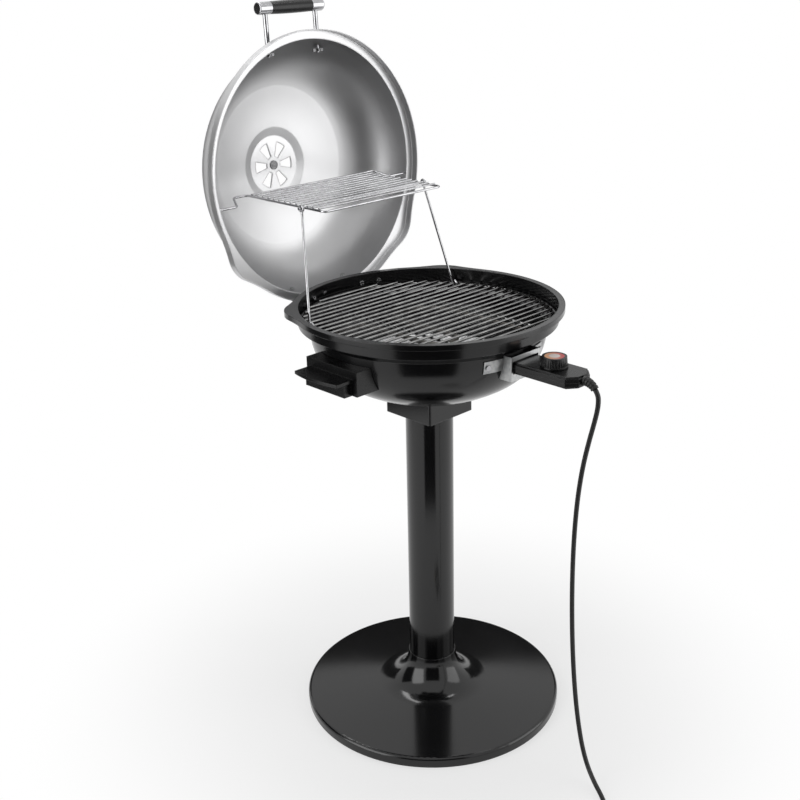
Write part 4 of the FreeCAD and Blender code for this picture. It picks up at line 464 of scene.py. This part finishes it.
# %% Dial face
DIAL_CENTRE = (0, -0.26, 0)
INSERT_RADIUS = 0.015
MIDDLE_RADIUS = 0.0085
ACROSS = (0.72, -0.69, 0)
LEVEL = (1, 1, 0)
SILVER = (0.62, 0.56, 0.53, 1)
SILVER_METAL = 0.55
INK_COVERS = 0.4
RING_STOPS = [(0.1, (0.66, 0.36, 0.2)), (0.55, (0.52, 0.22, 0.15)), (0.9, (0.46, 0.04, 0.045))]
dial_face, graph, shader = start("dial face")
place = graph.node("TexCoord", output="Object")
offset = graph.node("VectorMath", {"operation": "SUBTRACT"}, {0: place, 1: DIAL_CENTRE})
level_offset = graph.node("VectorMath", {"operation": "MULTIPLY"}, {0: offset, 1: LEVEL})
reach = graph.node("VectorMath", {"operation": "LENGTH"}, {0: level_offset}, "Value")
across = graph.node("VectorMath", {"operation": "DOT_PRODUCT"}, {0: offset, 1: ACROSS}, "Value")
heat = across * (0.5 / INSERT_RADIUS) + 0.5
warm = graph.node("ValToRGB", {"stops": RING_STOPS}, {"Fac": heat})
in_ring = reach > MIDDLE_RADIUS
printed = graph.node("Mix", {"data_type": "RGBA"}, {0: in_ring, 6: SILVER, 7: warm}, 2)
fill(shader, Base_Color=printed, Metallic=SILVER_METAL - in_ring * INK_COVERS,
     Roughness=0.3 + grain(graph, scale=300) * 0.1)
dress(dial_face, "dial_insert")

# %% [markdown]
# The grill stands on a white studio floor, which is a plain matt sheet. Part of its white comes from what the
# camera, a mirror or glass sees of it, so the sheet reads as white paper while it still keeps the soft shadow
# under the base.

# %% Floor
FLOOR_HALF = 6.0
FLOOR_DROP = 0.0005
SHADOW_NEAR = 0.24
SHADOW_FAR = 0.75
PAPER_GLOW = 0.6
WHITE = (1, 1, 1, 1)


def seen(graph):
    """One where a ray is a look: straight from the camera, in a mirror, or through glass."""
    camera_ray = graph.node("LightPath", output="Is Camera Ray")
    mirror_ray = graph.node("LightPath", output="Is Glossy Ray")
    glass_ray = graph.node("LightPath", output="Is Transmission Ray")
    return graph.node("Math", {"operation": "MINIMUM"}, {0: camera_ray + mirror_ray + glass_ray, 1: 1.0})


floor_signs = ((-1, -1), (1, -1), (1, 1), (-1, 1))
floor_corners = [(x * FLOOR_HALF, y * FLOOR_HALF, -FLOOR_DROP) for x, y in floor_signs]
sheet = bpy.data.meshes.new("studio_floor")
sheet.from_pydata(floor_corners, [], [(0, 1, 2, 3)])
floor = bpy.data.objects.new("studio_floor", sheet)
bpy.context.collection.objects.link(floor)
paper, graph, shader = start("white paper")
cloud = grain(graph, scale=3)
fill(shader, Base_Color=shade(cloud, (0.84, 0.84, 0.84), (0.87, 0.87, 0.87)), Roughness=0.9)
lit = Wire(paper.node_tree, shader.outputs[0])
glow = graph.node("Emission", {}, {"Color": WHITE, "Strength": 1.0})
spot = graph.node("TexCoord", output="Object")
distance = graph.node("VectorMath", {"operation": "LENGTH"}, {0: spot}, "Value")
fade = graph.node("MapRange", {"interpolation_type": "SMOOTHSTEP"},
                  {"Value": distance, "From Min": SHADOW_NEAR, "From Max": SHADOW_FAR,
                   "To Min": PAPER_GLOW, "To Max": 1.0})
blend = graph.node("MixShader", {}, {0: seen(graph) * fade, 1: lit, 2: glow})
paper.node_tree.links.new(blend.socket, paper.node_tree.nodes["Material Output"].inputs["Surface"])
sheet.materials.append(paper)
print("floor:", 2 * FLOOR_HALF, "m wide")

# %% [markdown]
# The world behind the floor is the same white to the eye. As a light it is weaker, a plain soft grey, so that
# it fills the shadows without washing out the colours.

# %% World
AMBIENT_LIGHT = 0.42
world = bpy.data.worlds.new("studio")
world.use_nodes = True
bpy.context.scene.world = world
sky = Wire(world.node_tree)
ambient = sky.node("Background", {}, {"Color": WHITE, "Strength": AMBIENT_LIGHT})
backdrop = sky.node("Background", {}, {"Color": WHITE, "Strength": 1.0})
both = sky.node("MixShader", {}, {0: seen(sky), 1: ambient, 2: backdrop})
world.node_tree.links.new(both.socket, world.node_tree.nodes["World Output"].inputs["Surface"])
bpy.context.scene.view_settings.view_transform = "Standard"
print("world:", AMBIENT_LIGHT, "of white as a light")

# %% [markdown]
# Bright metal shows whatever stands round it, and in an all-white room it would look flat. So three dark
# cloths stand round the grill, as a photographer would set them: one slopes up under and behind the camera,
# one stands at the back left and a low one at the back right. The camera never sees them, but the lid, the
# wires and the black coats take their dark side from them.

# %% Dark cloths
CLOTH_STEPS = 8
felt, graph, shader = start("grey felt")
fill(shader, Base_Color=shade(grain(graph, scale=40), (0.06, 0.06, 0.06), (0.09, 0.09, 0.09)),
     Roughness=0.95, Specular_IOR_Level=0.05)


def dark_cloth(name, first, last, foot, head):
    """A cloth between two bearings, in degrees; its foot and head are each a reach and a height."""
    corners = []
    for step in range(CLOTH_STEPS + 1):
        angle = math.radians(first + (last - first) * step / CLOTH_STEPS)
        for reach, height in (foot, head):
            corners.append((reach * math.cos(angle), reach * math.sin(angle), height))
    panels = [(low, low + 2, low + 3, low + 1) for low in range(0, 2 * CLOTH_STEPS, 2)]
    drape = bpy.data.meshes.new(name)
    drape.from_pydata(corners, [], panels)
    drape.materials.append(felt)
    cloth = bpy.data.objects.new(name, drape)
    cloth.visible_camera = False
    bpy.context.collection.objects.link(cloth)


dark_cloth("cloth_behind_camera", 198, 250, foot=(0.8, 0.01), head=(3.0, 2.4))
dark_cloth("cloth_back_left", 110, 144, foot=(1.4, 0.02), head=(3.0, 2.4))
dark_cloth("cloth_back_right", 0, 90, foot=(2.3, 0.15), head=(2.4, 1.35))
print("three dark cloths")

# %% [markdown]
# Four soft boxes light the grill: a tall one to each side of the camera, a strip behind and a narrow strip
# overhead. The tall ones draw the two long streaks on the pole and the patches on the foot, and the narrow
# one draws the thin bright lines along rounded edges and wires.

# %% Soft boxes
RIM_MIDDLE = (0, 0, 0.75)
LID_MOUTH = (0, 0.2, 0.9)
BOWL_FLOOR = (0, 0, 0.6)


def soft_box(name, place, aim, width, height, power):
    """A lamp with a square-cornered face, turned to look at a point."""
    lamp = bpy.data.lights.new(name, "AREA")
    lamp.shape = "RECTANGLE"
    lamp.size = width
    lamp.size_y = height
    lamp.energy = power
    box = bpy.data.objects.new(name, lamp)
    box.location = place
    box.rotation_euler = (Vector(aim) - Vector(place)).to_track_quat("-Z", "Y").to_euler()
    bpy.context.collection.objects.link(box)


soft_box("left box", (-2.25, 0.48, 1.15), RIM_MIDDLE, width=1.7, height=2.1, power=30)
soft_box("right box", (1.3, -1.9, 1.0), RIM_MIDDLE, width=1.7, height=2.0, power=18)
soft_box("back strip", (0.6, 1.6, 3.2), LID_MOUTH, width=2.0, height=0.5, power=16)
soft_box("edge strip", (0.45, 0.45, 2.9), BOWL_FLOOR, width=2.2, height=0.12, power=9)
print("four soft boxes")
